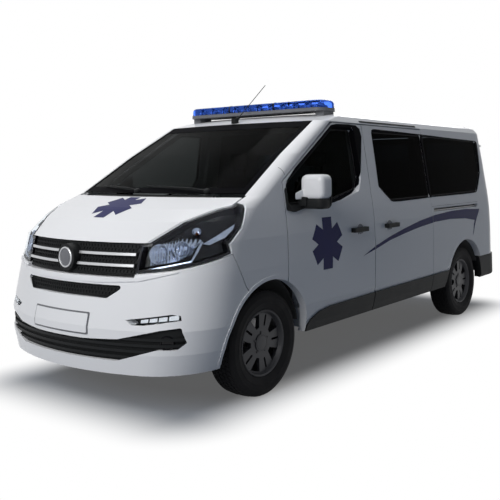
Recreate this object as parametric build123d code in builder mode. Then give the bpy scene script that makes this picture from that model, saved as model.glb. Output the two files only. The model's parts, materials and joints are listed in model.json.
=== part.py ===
from build123d import *
import os
from math import atan2, cos, pi, sin, sqrt

os.makedirs("parts", exist_ok=True)

# Sizes in mm. X points forward, Y to the left side, Z up, the ground is Z 0.

# Main sizes of the vehicle
LENGTH = 4999.0
NOSE_X = LENGTH / 2
TAIL_X = -LENGTH / 2
HALF_WIDTH = 976.0
FRONT_OVERHANG = 933.0
WHEELBASE = 3098.0
FRONT_AXLE_X = NOSE_X - FRONT_OVERHANG
REAR_AXLE_X = FRONT_AXLE_X - WHEELBASE
FRONT_TRACK = 1615.0
REAR_TRACK = 1628.0

# Walls, glass and gaps
WALL = 60.0
SIDE_GLASS = 8.0
SCREEN_GLASS = 16.0
PANEL_GAP = 6.0
DOOR_GAP = 10.0
RUN = 0.3

# Wheels
TYRE_R = 345.0
TYRE_W = 215.0
RIM_R = 216.0
RIM_W = 170.0
FLANGE_R = 227.0
SPINDLE_R = 30.0
SPOKES = 5
WHEEL_Z = TYRE_R
ARCH_R = 420.0
LINER_R = 434.0
LINER_T = 6.0

# Heights and seams of the body
SILL_Z = 345.0
FLOOR_Z = 552.0
FLOOR_T = 52.0
WAIST_Z = 1316.0
GUTTER_Z = 1860.0
GUTTER_H = 6.0
DOOR_FRONT_X = 1388.0
B_SEAM_X = 249.0
C_SEAM_X = -800.0
PILLAR_LOW = (DOOR_FRONT_X, 1400.0)
PILLAR_TOP_X = 668.0
BUMPER_TOP_Z = 842.0
REAR_DOOR_HALF = 711.0
REAR_SILL_Z = 561.0

# Plan sections of the body: height Z, set back at the nose, radius of the nose,
# radius of the front corners, set in at the sides, set in at the tail, radius of the rear corners
SECTIONS = [
    (275.0, 32.0, 1850.0, 420.0, 82.0, 45.0, 300.0),
    (400.0, 6.0, 1850.0, 430.0, 36.0, 48.0, 310.0),
    (540.0, 0.0, 1850.0, 430.0, 6.0, 52.0, 330.0),
    (850.0, 60.0, 1800.0, 420.0, 0.0, 58.0, 340.0),
    (1045.0, 107.0, 1760.0, 400.0, 5.0, 60.0, 340.0),
    (1166.0, 260.0, 1900.0, 360.0, 17.0, 60.0, 340.0),
    (1240.0, 415.0, 2050.0, 260.0, 27.0, 60.0, 340.0),
    (WAIST_Z, 650.0, 2316.0, 130.0, 39.0, 60.0, 340.0),
    (1600.0, 1138.0, 3000.0, 105.0, 83.0, 75.0, 320.0),
    (GUTTER_Z, 1620.0, 3800.0, 90.0, 126.0, 100.0, 300.0),
    (1905.0, 1800.0, 3800.0, 110.0, 161.0, 120.0, 290.0),
    (1938.0, 1980.0, 3600.0, 130.0, 241.0, 170.0, 270.0),
    (1958.0, 2200.0, 3300.0, 150.0, 386.0, 270.0, 240.0),
    (1971.0, 2600.0, 3000.0, 150.0, 646.0, 500.0, 200.0),
]
LEAD_Z = 1045.0
BREAKS = [275.0, LEAD_Z, WAIST_Z, GUTTER_Z, 1971.0]
LEAST_R = 20.0


def plan_face(section, inset):
    z, nose_back, nose_r, corner_r, side_in, tail_in, tail_r = section
    nose_x = NOSE_X - nose_back - inset
    nose_r = nose_r - inset
    corner_r = max(corner_r - inset, LEAST_R)
    half = HALF_WIDTH - side_in - inset
    tail_x = TAIL_X + tail_in + inset
    tail_r = max(tail_r - inset, LEAST_R)
    corner_y = half - corner_r
    middle_x = nose_x - nose_r
    corner_x = middle_x + sqrt((nose_r - corner_r) ** 2 - corner_y**2)
    turn = atan2(corner_y, corner_x - middle_x)
    meet = (middle_x + nose_r * cos(turn), nose_r * sin(turn))
    bend = (turn + pi / 2) / 2
    front_mid = (corner_x + corner_r * cos(bend), corner_y + corner_r * sin(bend))
    side_front = (corner_x, half)
    side_rear = (tail_x + tail_r, half)
    rear_mid = (tail_x + tail_r * (1 - sqrt(0.5)), half - tail_r * (1 - sqrt(0.5)))
    rear_end = (tail_x, half - tail_r)
    with BuildSketch(Plane.XY.offset(z)) as face:
        with BuildLine():
            ThreePointArc((meet[0], -meet[1]), (nose_x, 0), meet)
            ThreePointArc(meet, front_mid, side_front)
            Line(side_front, side_rear)
            ThreePointArc(side_rear, rear_mid, rear_end)
            Line(rear_end, (rear_end[0], -rear_end[1]))
            ThreePointArc(
                (rear_end[0], -rear_end[1]), (rear_mid[0], -rear_mid[1]), (side_rear[0], -side_rear[1])
            )
            Line((side_rear[0], -side_rear[1]), (side_front[0], -side_front[1]))
            ThreePointArc(
                (side_front[0], -side_front[1]), (front_mid[0], -front_mid[1]), (meet[0], -meet[1])
            )
        make_face()
    return face.sketch


MADE = {}


def envelope(inset, low, high):
    key = (inset, low, high)
    if key in MADE:
        return MADE[key]
    with BuildPart() as body:
        for bottom, top in zip(BREAKS, BREAKS[1:]):
            if bottom >= low and top <= high:
                rows = [row for row in SECTIONS if bottom <= row[0] <= top]
                loft(sections=[plan_face(row, inset) for row in rows], ruled=True)
    MADE[key] = body.part
    return body.part


def side_prism(points, low_y, high_y, corner=0.0, shrink=0.0):
    with BuildPart() as prism:
        with BuildSketch(Plane((0, high_y, 0), x_dir=(1, 0, 0), z_dir=(0, -1, 0))) as outline:
            with BuildLine():
                Polyline(*points, close=True)
            make_face()
            if shrink > 0:
                offset(amount=-shrink, kind=Kind.INTERSECTION)
            if corner > 0:
                fillet(outline.vertices(), corner)
        extrude(amount=high_y - low_y)
    return prism.part


def front_prism(points, low_x, high_x, corner=0.0):
    with BuildPart() as prism:
        with BuildSketch(Plane.YZ.offset(low_x)) as outline:
            with BuildLine():
                Polyline(*points, close=True)
            make_face()
            if corner > 0:
                fillet(outline.vertices(), corner)
        extrude(amount=high_x - low_x)
    return prism.part


def plan_prism(points, low_z, high_z):
    with BuildPart() as prism:
        with BuildSketch(Plane.XY.offset(low_z)):
            with BuildLine():
                Polyline(*points, close=True)
            make_face()
        extrude(amount=high_z - low_z)
    return prism.part


def block(low_x, high_x, low_y, high_y, low_z, high_z):
    with BuildPart() as brick:
        with Locations(((low_x + high_x) / 2, (low_y + high_y) / 2, (low_z + high_z) / 2)):
            Box(high_x - low_x, high_y - low_y, high_z - low_z)
    return brick.part


def cross_rod(x, z, radius, low_y, high_y):
    with BuildPart() as rod:
        with BuildSketch(Plane((x, high_y, z), x_dir=(1, 0, 0), z_dir=(0, -1, 0))):
            Circle(radius)
        extrude(amount=high_y - low_y)
    return rod.part


def upright(x, y, radius, low_z, high_z):
    with BuildPart() as rod:
        with BuildSketch(Plane((x, y, low_z))):
            Circle(radius)
        extrude(amount=high_z - low_z)
    return rod.part


def band(outer_inset, inner_inset, low=BREAKS[0], high=GUTTER_Z):
    key = (outer_inset, inner_inset, low, high)
    if key in MADE:
        return MADE[key]
    with BuildPart() as layer:
        add(envelope(outer_inset, low, high))
        add(envelope(inner_inset, low, high), mode=Mode.SUBTRACT)
    MADE[key] = layer.part
    return layer.part


# Envelopes that the panels are cut from
BASE_Z = BREAKS[0]
BODY = envelope(0, BASE_Z, GUTTER_Z)
SHELL = band(0, WALL)
FAR = 3000.0

# Outlines in the side view, X and Z
door_top = GUTTER_Z - GUTTER_H - DOOR_GAP + 2
PILLAR_TOP = (PILLAR_TOP_X, door_top)
front_door_outline = [
    (B_SEAM_X + DOOR_GAP / 2, SILL_Z),
    (B_SEAM_X + DOOR_GAP / 2, door_top),
    PILLAR_TOP,
    PILLAR_LOW,
    (DOOR_FRONT_X, SILL_Z),
]
front_window = [
    (1340.0, 1240.0),
    (1340.0, 1376.0),
    (660.0, 1798.0),
    (402.0, 1798.0),
    (390.0, 1420.0),
    (440.0, 1325.0),
    (740.0, 1262.0),
]
sliding_outline = [
    (C_SEAM_X + PANEL_GAP / 2, SILL_Z),
    (C_SEAM_X + PANEL_GAP / 2, door_top),
    (B_SEAM_X - DOOR_GAP / 2, door_top),
    (B_SEAM_X - DOOR_GAP / 2, SILL_Z),
]
sliding_window = [(100.0, 1795.0), (112.0, 1340.0), (-60.0, 1216.0), (-778.0, 1222.0), (-778.0, 1793.0)]
quarter_window = [
    (-824.0, 1222.0),
    (-824.0, 1793.0),
    (-2046.0, 1768.0),
    (-2032.0, 1430.0),
    (-1868.0, 1236.0),
]
WINDOW_R = 22.0
FIXED_REVEAL = (5.0, 9.0)
FIXED_GLASS_IN = FIXED_REVEAL[1] + 1
DOOR_REVEAL = (20.0, 36.0)
DOOR_GLASS_IN = DOOR_REVEAL[1] + 1
lamp_outline = [
    (2420.0, 850.0),
    (1950.0, 974.0),
    (1965.0, 1030.0),
    (1852.0, 1120.0),
    (1785.0, 1235.0),
    (1772.0, 1262.0),
    (1900.0, 1330.0),
    (2420.0, 1330.0),
]
LAMP_INNER_Y = 548.0
bumper_outline = [
    (2520.0, BREAKS[0]),
    (2520.0, BUMPER_TOP_Z - 4),
    (2420.0, BUMPER_TOP_Z),
    (1946.0, 966.0),
    (1831.0, 757.0),
    (1700.0, 600.0),
    (1700.0, BREAKS[0]),
]

# Outline of the bonnet in plan, X and Y
bonnet_side = [(2450.0, 541.0), (2330.0, 556.0), (1825.0, 860.0), (1700.0, 848.0)]
bonnet_outline = bonnet_side + [(1400.0, 700.0), (1400.0, -700.0)] + [(x, -y) for x, y in bonnet_side[::-1]]
bonnet_keep_out = [(2470.0, 551.0), (2334.0, 565.0), (1829.0, 871.0), (1684.0, 858.0)]
bonnet_clear = bonnet_keep_out + [(1390.0, 700.0), (1390.0, -700.0)] + [
    (x, -y) for x, y in bonnet_keep_out[::-1]
]

SIDES = (1, -1)


def outline_distance(x, z, outline):
    nearest = FAR
    for (ax, az), (bx, bz) in zip(outline, outline[1:] + outline[:1]):
        length_2 = (bx - ax) ** 2 + (bz - az) ** 2
        share = min(1, max(0, ((x - ax) * (bx - ax) + (z - az) * (bz - az)) / length_2))
        nearest = min(nearest, sqrt((x - ax - share * (bx - ax)) ** 2 + (z - az - share * (bz - az)) ** 2))
    return nearest


def side_skin(z):
    for below, above in zip(SECTIONS, SECTIONS[1:]):
        if below[0] <= z <= above[0]:
            share = (z - below[0]) / (above[0] - below[0])
            return HALF_WIDTH - below[4] - share * (above[4] - below[4])


def reveal_edges(part, outline, low_x, high_x, high_z):
    edges = []
    for edge in part.edges():
        middle = edge.center()
        if not (low_x < middle.X < high_x and middle.Z < high_z):
            continue
        on_rim = outline_distance(middle.X, middle.Z, outline) < WINDOW_R / 2
        if on_rim and middle.Y > side_skin(middle.Z) - 3:
            edges.append(edge)
    return edges


def both(part):
    with BuildPart() as pair:
        add(part)
        mirror(part, about=Plane.XZ)
    return pair.part


front_arches = cross_rod(FRONT_AXLE_X, WHEEL_Z, ARCH_R, -FAR, FAR)
rear_arches = cross_rod(REAR_AXLE_X, WHEEL_Z, ARCH_R, -FAR, FAR)
bonnet_zone = plan_prism(bonnet_clear, LEAD_Z - 5, WAIST_Z)
lamp_zone = both(side_prism(lamp_outline, LAMP_INNER_Y, FAR))

# Hinges of the front doors, upright axis inside the front edge of the door
DOOR_HINGE_X = DOOR_FRONT_X - 95.0
DOOR_HINGE_Y = 948.0
DOOR_HINGE_ZS = (800.0, 1060.0)
DOOR_EYE_R = 13.0
DOOR_PIN_R = 7.0
DOOR_EYE_L = 46.0

# Front doors
with BuildPart() as front_door_left:
    add(SHELL)
    add(side_prism(front_door_outline, 0, FAR), mode=Mode.INTERSECT)
    add(front_arches, mode=Mode.SUBTRACT)
    add(side_prism(front_window, 0, FAR, WINDOW_R), mode=Mode.SUBTRACT)
    low_rim = reveal_edges(front_door_left, front_window, 380.0, 1310.0, 1380.0)
    rear_rim = reveal_edges(front_door_left, front_window, 380.0, 410.0, 1780.0)
    chamfer(low_rim + rear_rim, DOOR_REVEAL[0], DOOR_REVEAL[1])
    for z in DOOR_HINGE_ZS:
        half = DOOR_EYE_L / 2 + 5
        pocket_y = DOOR_HINGE_Y + DOOR_EYE_R + 3
        add(
            block(DOOR_HINGE_X - DOOR_EYE_R - 6, DOOR_FRONT_X + 5, 800, pocket_y, z - half, z + half),
            mode=Mode.SUBTRACT,
        )
        add(upright(DOOR_HINGE_X, DOOR_HINGE_Y, DOOR_PIN_R, z - half - 1, z + half + 1))
with BuildPart() as front_door_right:
    mirror(front_door_left.part, about=Plane.XZ)

with BuildPart() as door_glass_left:
    add(band(DOOR_GLASS_IN, DOOR_GLASS_IN + SIDE_GLASS, LEAD_Z, GUTTER_Z))
    add(side_prism(front_window, 0, FAR, WINDOW_R), mode=Mode.INTERSECT)
with BuildPart() as door_glass_right:
    mirror(door_glass_left.part, about=Plane.XZ)

# Mirror, handle and cladding that ride on a front door
CLADDING_T = 12.0
CLADDING_TOP = 496.0
HANDLE_Z = 1013.0
HANDLE_H = 34.0
HANDLE_OUT = 34.0
front_cladding = [
    (1186.0, SILL_Z),
    (1120.0, 425.0),
    (1020.0, 468.0),
    (891.0, 486.0),
    (B_SEAM_X + DOOR_GAP / 2, CLADDING_TOP - 2),
    (B_SEAM_X + DOOR_GAP / 2, SILL_Z),
]
MIRROR_X = (1098.0, 1222.0)
MIRROR_Y = (968.0, 1141.0)
MIRROR_Z = (1206.0, 1450.0)


def skin_piece(outline, thickness, low, high):
    with BuildPart() as piece:
        add(band(-thickness, 0, low, high))
        add(side_prism(outline, 0, FAR), mode=Mode.INTERSECT)
    return piece.part


def handle_bar(low_x, high_x):
    with BuildPart() as bar:
        with BuildSketch(Plane.XY.offset(HANDLE_Z - HANDLE_H / 2)) as outline:
            with Locations(((low_x + high_x) / 2, HALF_WIDTH - 20 + HANDLE_OUT / 2 + 10)):
                Rectangle(high_x - low_x, HANDLE_OUT + 20)
            fillet(outline.vertices().group_by(Axis.Y)[-1], 14)
        extrude(amount=HANDLE_H)
        with Locations(((low_x + high_x) / 2, HALF_WIDTH - 4, HANDLE_Z)):
            Box(high_x - low_x - 60, 36, HANDLE_H + 1, mode=Mode.SUBTRACT)
        add(envelope(0, BASE_Z, LEAD_Z), mode=Mode.SUBTRACT)
    return bar.part


with BuildPart() as mirror_left:
    with BuildSketch(Plane.XY.offset(MIRROR_Z[0])) as head_plan:
        with BuildLine():
            Polyline(
                (MIRROR_X[0], MIRROR_Y[0]),
                (MIRROR_X[0] + 6, MIRROR_Y[1]),
                (MIRROR_X[1] - 40, MIRROR_Y[1]),
                (MIRROR_X[1], MIRROR_Y[0] + 40),
                (MIRROR_X[1] - 10, MIRROR_Y[0]),
                close=True,
            )
        make_face()
    extrude(amount=MIRROR_Z[1] - MIRROR_Z[0])
    fillet(mirror_left.edges().filter_by(Axis.Z), 16)
    fillet(mirror_left.faces().sort_by(Axis.Z)[-1].edges(), 14)
    fillet(mirror_left.faces().sort_by(Axis.Z)[0].edges(), 14)
    add(block(MIRROR_X[1] - 70, MIRROR_X[1] + 60, 900, MIRROR_Y[0] + 30, MIRROR_Z[0] + 20, MIRROR_Z[0] + 70))
    add(envelope(0, LEAD_Z, GUTTER_Z), mode=Mode.SUBTRACT)
    add(skin_piece([(1372.0, 1250.0), (1372.0, 1338.0), (1330.0, 1340.0), (1170.0, 1250.0), (1170.0, 1216.0),
                    (1340.0, 1216.0)], CLADDING_T, LEAD_Z, GUTTER_Z))
with BuildPart() as mirror_right:
    mirror(mirror_left.part, about=Plane.XZ)

with BuildPart() as door_trim_left:
    add(skin_piece(front_cladding, CLADDING_T, BASE_Z, LEAD_Z))
    add(front_arches, mode=Mode.SUBTRACT)
    add(handle_bar(390.0, 600.0))
with BuildPart() as door_trim_right:
    mirror(door_trim_left.part, about=Plane.XZ)

# Sliding doors, which stay shut
with BuildPart() as sliding_door_left:
    add(SHELL)
    add(side_prism(sliding_outline, 0, FAR), mode=Mode.INTERSECT)
    add(side_prism(sliding_window, 0, FAR, WINDOW_R), mode=Mode.SUBTRACT)
    rim = reveal_edges(sliding_door_left, sliding_window, -765.0, 130.0, 1785.0)
    chamfer(rim, FIXED_REVEAL[0], FIXED_REVEAL[1])
with BuildPart() as sliding_door_right:
    mirror(sliding_door_left.part, about=Plane.XZ)

with BuildPart() as fixed_glass:
    add(band(FIXED_GLASS_IN, FIXED_GLASS_IN + SIDE_GLASS, LEAD_Z, GUTTER_Z))
    add(
        both(side_prism(sliding_window, 0, FAR, WINDOW_R) + side_prism(quarter_window, 0, FAR, WINDOW_R)),
        mode=Mode.INTERSECT,
    )

# Hinges of the rear doors, outside the rear corners
REAR_HINGE_X = TAIL_X + 40.0
REAR_HINGE_Y = REAR_DOOR_HALF + DOOR_GAP / 2
REAR_HINGE_ZS = (760.0, 1220.0, 1680.0)
REAR_EYE_R = 11.0
REAR_PIN_R = 5.0
REAR_EYE_L = 36.0
REAR_EYE_GAP = 3.0
REAR_TIP_L = 18.0

# Body sides: pillars, cant rails, sills and rear quarters
FRAME_IN = 110.0
SILL_IN = 172.0
POST_OUT = 135.0
FRAME_OFF = WALL + 8.0
JACK_XS = (900.0, -700.0)
JACK_Y = 810.0
TAIL_LAMP_Z = (690.0, 1090.0)
TAIL_LAMP_Y = (732.0, 906.0)
TAIL_LAMP_T = 40.0
RAIL_Z = 1095.0
RAIL_H = 30.0
RAIL_X = (-1852.0, -838.0)
tail_lamp_zone = block(TAIL_X, -2200, TAIL_LAMP_Y[0], TAIL_LAMP_Y[1], TAIL_LAMP_Z[0], TAIL_LAMP_Z[1])
SCREEN_LOW_Y = 845.0
SCREEN_TOP_Y = 762.0
SCREEN_FOOT = 10.0
screen_outline = [
    (-SCREEN_LOW_Y, WAIST_Z),
    (SCREEN_LOW_Y, WAIST_Z),
    (SCREEN_TOP_Y, GUTTER_Z),
    (-SCREEN_TOP_Y, GUTTER_Z),
]
pillar_outline = [
    (PILLAR_LOW[0] + DOOR_GAP, WAIST_Z),
    (PILLAR_LOW[0] + DOOR_GAP, PILLAR_LOW[1] + 6),
    (PILLAR_TOP_X + DOOR_GAP + 10, GUTTER_Z),
    (2000.0, GUTTER_Z),
    (2000.0, WAIST_Z),
]
# Frame members: inset outside, inset inside, outline in the side view
FRAME = [
    (WALL, SILL_IN, [(-1090.0, 365.0), (-1090.0, 500.0), (B_SEAM_X, 500.0), (B_SEAM_X, 365.0)]),
    (FRAME_OFF, SILL_IN, [(B_SEAM_X, 365.0), (B_SEAM_X, 500.0), (1128.0, 500.0), (1128.0, 365.0)]),
    (
        WALL,
        FRAME_IN,
        [(150.0, FLOOR_Z), (150.0, GUTTER_Z), (B_SEAM_X - 4, GUTTER_Z), (B_SEAM_X - 4, FLOOR_Z)],
    ),
    (FRAME_OFF, FRAME_IN, [(240.0, FLOOR_Z), (240.0, GUTTER_Z), (340.0, GUTTER_Z), (340.0, FLOOR_Z)]),
    (WALL, FRAME_IN, [(-870.0, FLOOR_Z), (-870.0, GUTTER_Z), (-740.0, GUTTER_Z), (-740.0, FLOOR_Z)]),
    (WALL, FRAME_IN, [(-2200.0, 1800.0), (-2200.0, GUTTER_Z), (245.0, GUTTER_Z), (245.0, 1800.0)]),
    (FRAME_OFF, FRAME_IN, [(240.0, 1800.0), (240.0, GUTTER_Z), (640.0, GUTTER_Z), (640.0, 1810.0)]),
    (
        POST_OUT,
        SILL_IN,
        [(1080.0, 365.0), (1128.0, 365.0), (1128.0, 735.0), (1260.0, 735.0), (1260.0, 1200.0),
         (1080.0, 1200.0)],
    ),
]

with BuildPart() as side_panel_left:
    add(SHELL)
    add(
        side_prism([(C_SEAM_X - PANEL_GAP / 2, SILL_Z), (C_SEAM_X - PANEL_GAP / 2, GUTTER_Z),
                    (TAIL_X, GUTTER_Z),
                    (TAIL_X, SILL_Z)], 0, FAR)
        + side_prism([(TAIL_X, GUTTER_Z - GUTTER_H), (TAIL_X, GUTTER_Z), (1000.0, GUTTER_Z),
                      (1000.0, GUTTER_Z - GUTTER_H)], 0, FAR)
        + side_prism(pillar_outline, 0, FAR),
        mode=Mode.INTERSECT,
    )
    add(front_prism(screen_outline, 400, FAR), mode=Mode.SUBTRACT)
    add(rear_arches, mode=Mode.SUBTRACT)
    add(side_prism(quarter_window, 0, FAR, WINDOW_R), mode=Mode.SUBTRACT)
    rim = reveal_edges(side_panel_left, quarter_window, -2060.0, -840.0, 1760.0)
    chamfer(rim, FIXED_REVEAL[0], FIXED_REVEAL[1])
    add(block(TAIL_X, -2150, 0, REAR_DOOR_HALF + DOOR_GAP, 0, GUTTER_Z - GUTTER_H), mode=Mode.SUBTRACT)
    add(block(TAIL_X, REAR_AXLE_X, 0, FAR, 0, REAR_SILL_Z), mode=Mode.SUBTRACT)
    add(block(RAIL_X[0], RAIL_X[1], HALF_WIDTH - 45, FAR, RAIL_Z - RAIL_H / 2, RAIL_Z + RAIL_H / 2),
        mode=Mode.SUBTRACT)
    add(tail_lamp_zone - envelope(TAIL_LAMP_T, BASE_Z, WAIST_Z), mode=Mode.SUBTRACT)
    for outside, inside, outline in FRAME:
        add(band(outside, inside) & side_prism(outline, 0, FAR))
    for x in JACK_XS:
        add(block(x - 50, x + 50, JACK_Y - 30, JACK_Y + 30, SILL_Z, 370))
    for z in DOOR_HINGE_ZS:
        add(upright(DOOR_HINGE_X, DOOR_HINGE_Y, DOOR_EYE_R, z - DOOR_EYE_L / 2, z + DOOR_EYE_L / 2))
        add(plan_prism([(1240.0, 830.0), (1258.0, 830.0), (DOOR_HINGE_X + 9, DOOR_HINGE_Y - 40),
                        (DOOR_HINGE_X + 9, DOOR_HINGE_Y), (DOOR_HINGE_X - 9, DOOR_HINGE_Y),
                        (DOOR_HINGE_X - 9, DOOR_HINGE_Y - 40), (1240.0, 845.0)],
                       z - DOOR_EYE_L / 2, z + DOOR_EYE_L / 2))
        add(upright(DOOR_HINGE_X, DOOR_HINGE_Y, DOOR_PIN_R + RUN, z - DOOR_EYE_L, z + DOOR_EYE_L),
            mode=Mode.SUBTRACT)
    for z in REAR_HINGE_ZS:
        reach = REAR_EYE_L + 2 * REAR_EYE_GAP
        for low in (z - reach - REAR_TIP_L, z + reach):
            add(
                upright(REAR_HINGE_X, REAR_HINGE_Y, REAR_EYE_R, low, low + REAR_TIP_L)
                + block(REAR_HINGE_X, REAR_HINGE_X + 100, REAR_HINGE_Y, REAR_HINGE_Y + 50,
                        low, low + REAR_TIP_L)
                - BODY
            )
        add(upright(REAR_HINGE_X, REAR_HINGE_Y, REAR_PIN_R + RUN, z - 80, z + 80), mode=Mode.SUBTRACT)

# Rear doors, hinged at outside eyes
rear_window = [(110.0, 1240.0), (110.0, 1780.0), (610.0, 1770.0), (620.0, 1240.0)]

with BuildPart() as rear_door_left:
    add(SHELL)
    add(
        block(TAIL_X, -2150, DOOR_GAP / 2, REAR_DOOR_HALF,
              REAR_SILL_Z + DOOR_GAP, GUTTER_Z - GUTTER_H - DOOR_GAP),
        mode=Mode.INTERSECT,
    )
    add(front_prism(rear_window, TAIL_X, -2000, 40), mode=Mode.SUBTRACT)
    for z in REAR_HINGE_ZS:
        for low in (z - REAR_EYE_L - REAR_EYE_GAP, z + REAR_EYE_GAP):
            add(
                (
                    upright(REAR_HINGE_X, REAR_HINGE_Y, REAR_EYE_R, low, low + REAR_EYE_L)
                    + block(REAR_HINGE_X, REAR_HINGE_X + 100, 660, REAR_HINGE_Y - 6, low, low + REAR_EYE_L)
                )
                - BODY
            )
        pin_half = REAR_EYE_L + 2 * REAR_EYE_GAP + REAR_TIP_L
        add(upright(REAR_HINGE_X, REAR_HINGE_Y, REAR_PIN_R, z - pin_half, z + pin_half))
with BuildPart() as rear_door_right:
    mirror(rear_door_left.part, about=Plane.XZ)
with BuildPart() as rear_glass_left:
    add(band(6, 6 + SIDE_GLASS, LEAD_Z, GUTTER_Z))
    add(front_prism(rear_window, TAIL_X, -2000, 40), mode=Mode.INTERSECT)
with BuildPart() as rear_glass_right:
    mirror(rear_glass_left.part, about=Plane.XZ)

# Roof, windscreen, bonnet and wings
ROOF_T = 40.0
with BuildPart() as roof_panel:
    add(envelope(0, GUTTER_Z, BREAKS[-1]))
    add(Pos(0, 0, -ROOF_T) * envelope(ROOF_T, GUTTER_Z, BREAKS[-1]), mode=Mode.SUBTRACT)

with BuildPart() as windscreen:
    add(band(2, 2 + SCREEN_GLASS, WAIST_Z, GUTTER_Z))
    add(front_prism(screen_outline, 400, FAR), mode=Mode.INTERSECT)
    add(block(400, FAR, -FAR, FAR, WAIST_Z + SCREEN_FOOT, GUTTER_Z), mode=Mode.INTERSECT)

BONNET_HINGE_X = 1760.0
BONNET_HINGE_Z = 1270.0
BONNET_HINGE_Y = 640.0
BONNET_PIN_R = 6.0
BONNET_EAR_T = 10.0
BONNET_T = 35.0
BONNET_SCREEN_GAP = 30.0
WAIST_ROW = [row for row in SECTIONS if row[0] == WAIST_Z][0]
with BuildPart() as bonnet:
    add(band(0, BONNET_T, LEAD_Z, WAIST_Z))
    add(plan_prism(bonnet_outline, LEAD_Z + 2, WAIST_Z - 4), mode=Mode.INTERSECT)
    extrude(plan_face(WAIST_ROW, -BONNET_SCREEN_GAP), amount=LEAD_Z - WAIST_Z, mode=Mode.SUBTRACT)
    for side in SIDES:
        low_y = side * BONNET_HINGE_Y - BONNET_EAR_T / 2
        ear = [
            (1745.0, 1256.0),
            (1775.0, 1256.0),
            (1830.0, 1274.0),
            (1830.0, 1288.0),
            (1795.0, 1298.0),
            (1750.0, 1286.0),
        ]
        add(side_prism(ear, low_y, low_y + BONNET_EAR_T))
        high_y = low_y + BONNET_EAR_T
        add(
            cross_rod(BONNET_HINGE_X, BONNET_HINGE_Z, BONNET_PIN_R + RUN, low_y - 1, high_y + 1),
            mode=Mode.SUBTRACT,
        )

with BuildPart() as front_wings:
    add(band(0, WALL, BASE_Z, WAIST_Z))
    add(
        block(DOOR_FRONT_X + DOOR_GAP, 2400, -FAR, FAR, 300, WAIST_Z)
        - both(side_prism([(x - PANEL_GAP, z + PANEL_GAP) for x, z in bumper_outline], 0, FAR))
        - block(2000, FAR, -FAR, FAR, 0, FAR)
        - both(side_prism([(x - PANEL_GAP, z) for x, z in lamp_outline], LAMP_INNER_Y, FAR)),
        mode=Mode.INTERSECT,
    )
    add(bonnet_zone, mode=Mode.SUBTRACT)
    add(front_arches, mode=Mode.SUBTRACT)

# Nose: bumper, grilles and lamps
GRILLE_LOW_Z = BUMPER_TOP_Z + 8
GRILLE_TOP_Z = LEAD_Z - 6
grille_outline = [
    (-544.0, GRILLE_LOW_Z),
    (544.0, GRILLE_LOW_Z),
    (538.0, GRILLE_TOP_Z),
    (-538.0, GRILLE_TOP_Z),
]
GRILLE_SET_IN = 24.0
BAR_H = 22.0
BAR_ZS = (912.0, 978.0)
DISC_R = 84.0
DISC_Z = 945.0
intake_outline = [(-500.0, 796.0), (500.0, 796.0), (380.0, 718.0), (-380.0, 718.0)]
low_grille_side = [
    (235.0, 475.0),
    (486.0, 488.0),
    (752.0, 550.0),
    (850.0, 564.0),
    (866.0, 474.0),
    (822.0, 432.0),
    (726.0, 434.0),
    (471.0, 358.0),
]
low_grille_outline = low_grille_side + [(-y, z) for y, z in low_grille_side[::-1]]
day_lamp_outline = [
    (531.0, 602.0),
    (678.0, 622.0),
    (800.0, 640.0),
    (840.0, 632.0),
    (846.0, 604.0),
    (746.0, 589.0),
    (640.0, 574.0),
    (575.0, 574.0),
]
SLAT_COUNT = 4
SLAT_T = 16.0

with BuildPart() as front_bumper:
    add(band(0, WALL, BASE_Z, LEAD_Z))
    add(side_prism(bumper_outline, -FAR, FAR), mode=Mode.INTERSECT)
    add(block(2000, FAR, -LAMP_INNER_Y, LAMP_INNER_Y, BUMPER_TOP_Z, FAR), mode=Mode.SUBTRACT)
    add(front_arches, mode=Mode.SUBTRACT)
    add(front_prism(intake_outline, 2000, FAR, 14), mode=Mode.SUBTRACT)
    add(front_prism(low_grille_outline, 1990, FAR, 12), mode=Mode.SUBTRACT)
    add(both(front_prism(day_lamp_outline, 1990, FAR)), mode=Mode.SUBTRACT)

with BuildPart() as upper_grille:
    add(band(GRILLE_SET_IN, WALL, BASE_Z, LEAD_Z) & front_prism(grille_outline, 2000, FAR))
    for z in BAR_ZS:
        add(band(4, WALL, BASE_Z, LEAD_Z) & front_prism(
            [(-532.0, z - BAR_H / 2), (532.0, z - BAR_H / 2),
             (532.0, z + BAR_H / 2), (-532.0, z + BAR_H / 2)],
            2000, FAR))
    with BuildSketch(Plane.YZ.offset(2300)):
        with Locations((0, DISC_Z)):
            Circle(DISC_R)
    extrude(amount=NOSE_X - 56 - 2300)
    add(envelope(WALL, BASE_Z, LEAD_Z), mode=Mode.SUBTRACT)

with BuildPart() as lower_grille:
    add(band(GRILLE_SET_IN, WALL, BASE_Z, LEAD_Z) & front_prism(intake_outline, 2000, FAR, 14))
    slats = block(1990, FAR, -FAR, FAR, 300, 600)
    for i in range(SLAT_COUNT):
        z = 376 + i * 36
        slats = slats - block(1990, FAR, -FAR, FAR, z, z + SLAT_T)
    add(band(8, WALL, BASE_Z, LEAD_Z) & front_prism(low_grille_outline, 1990, FAR, 12))
    add(slats - envelope(GRILLE_SET_IN, BASE_Z, LEAD_Z), mode=Mode.SUBTRACT)

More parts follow.
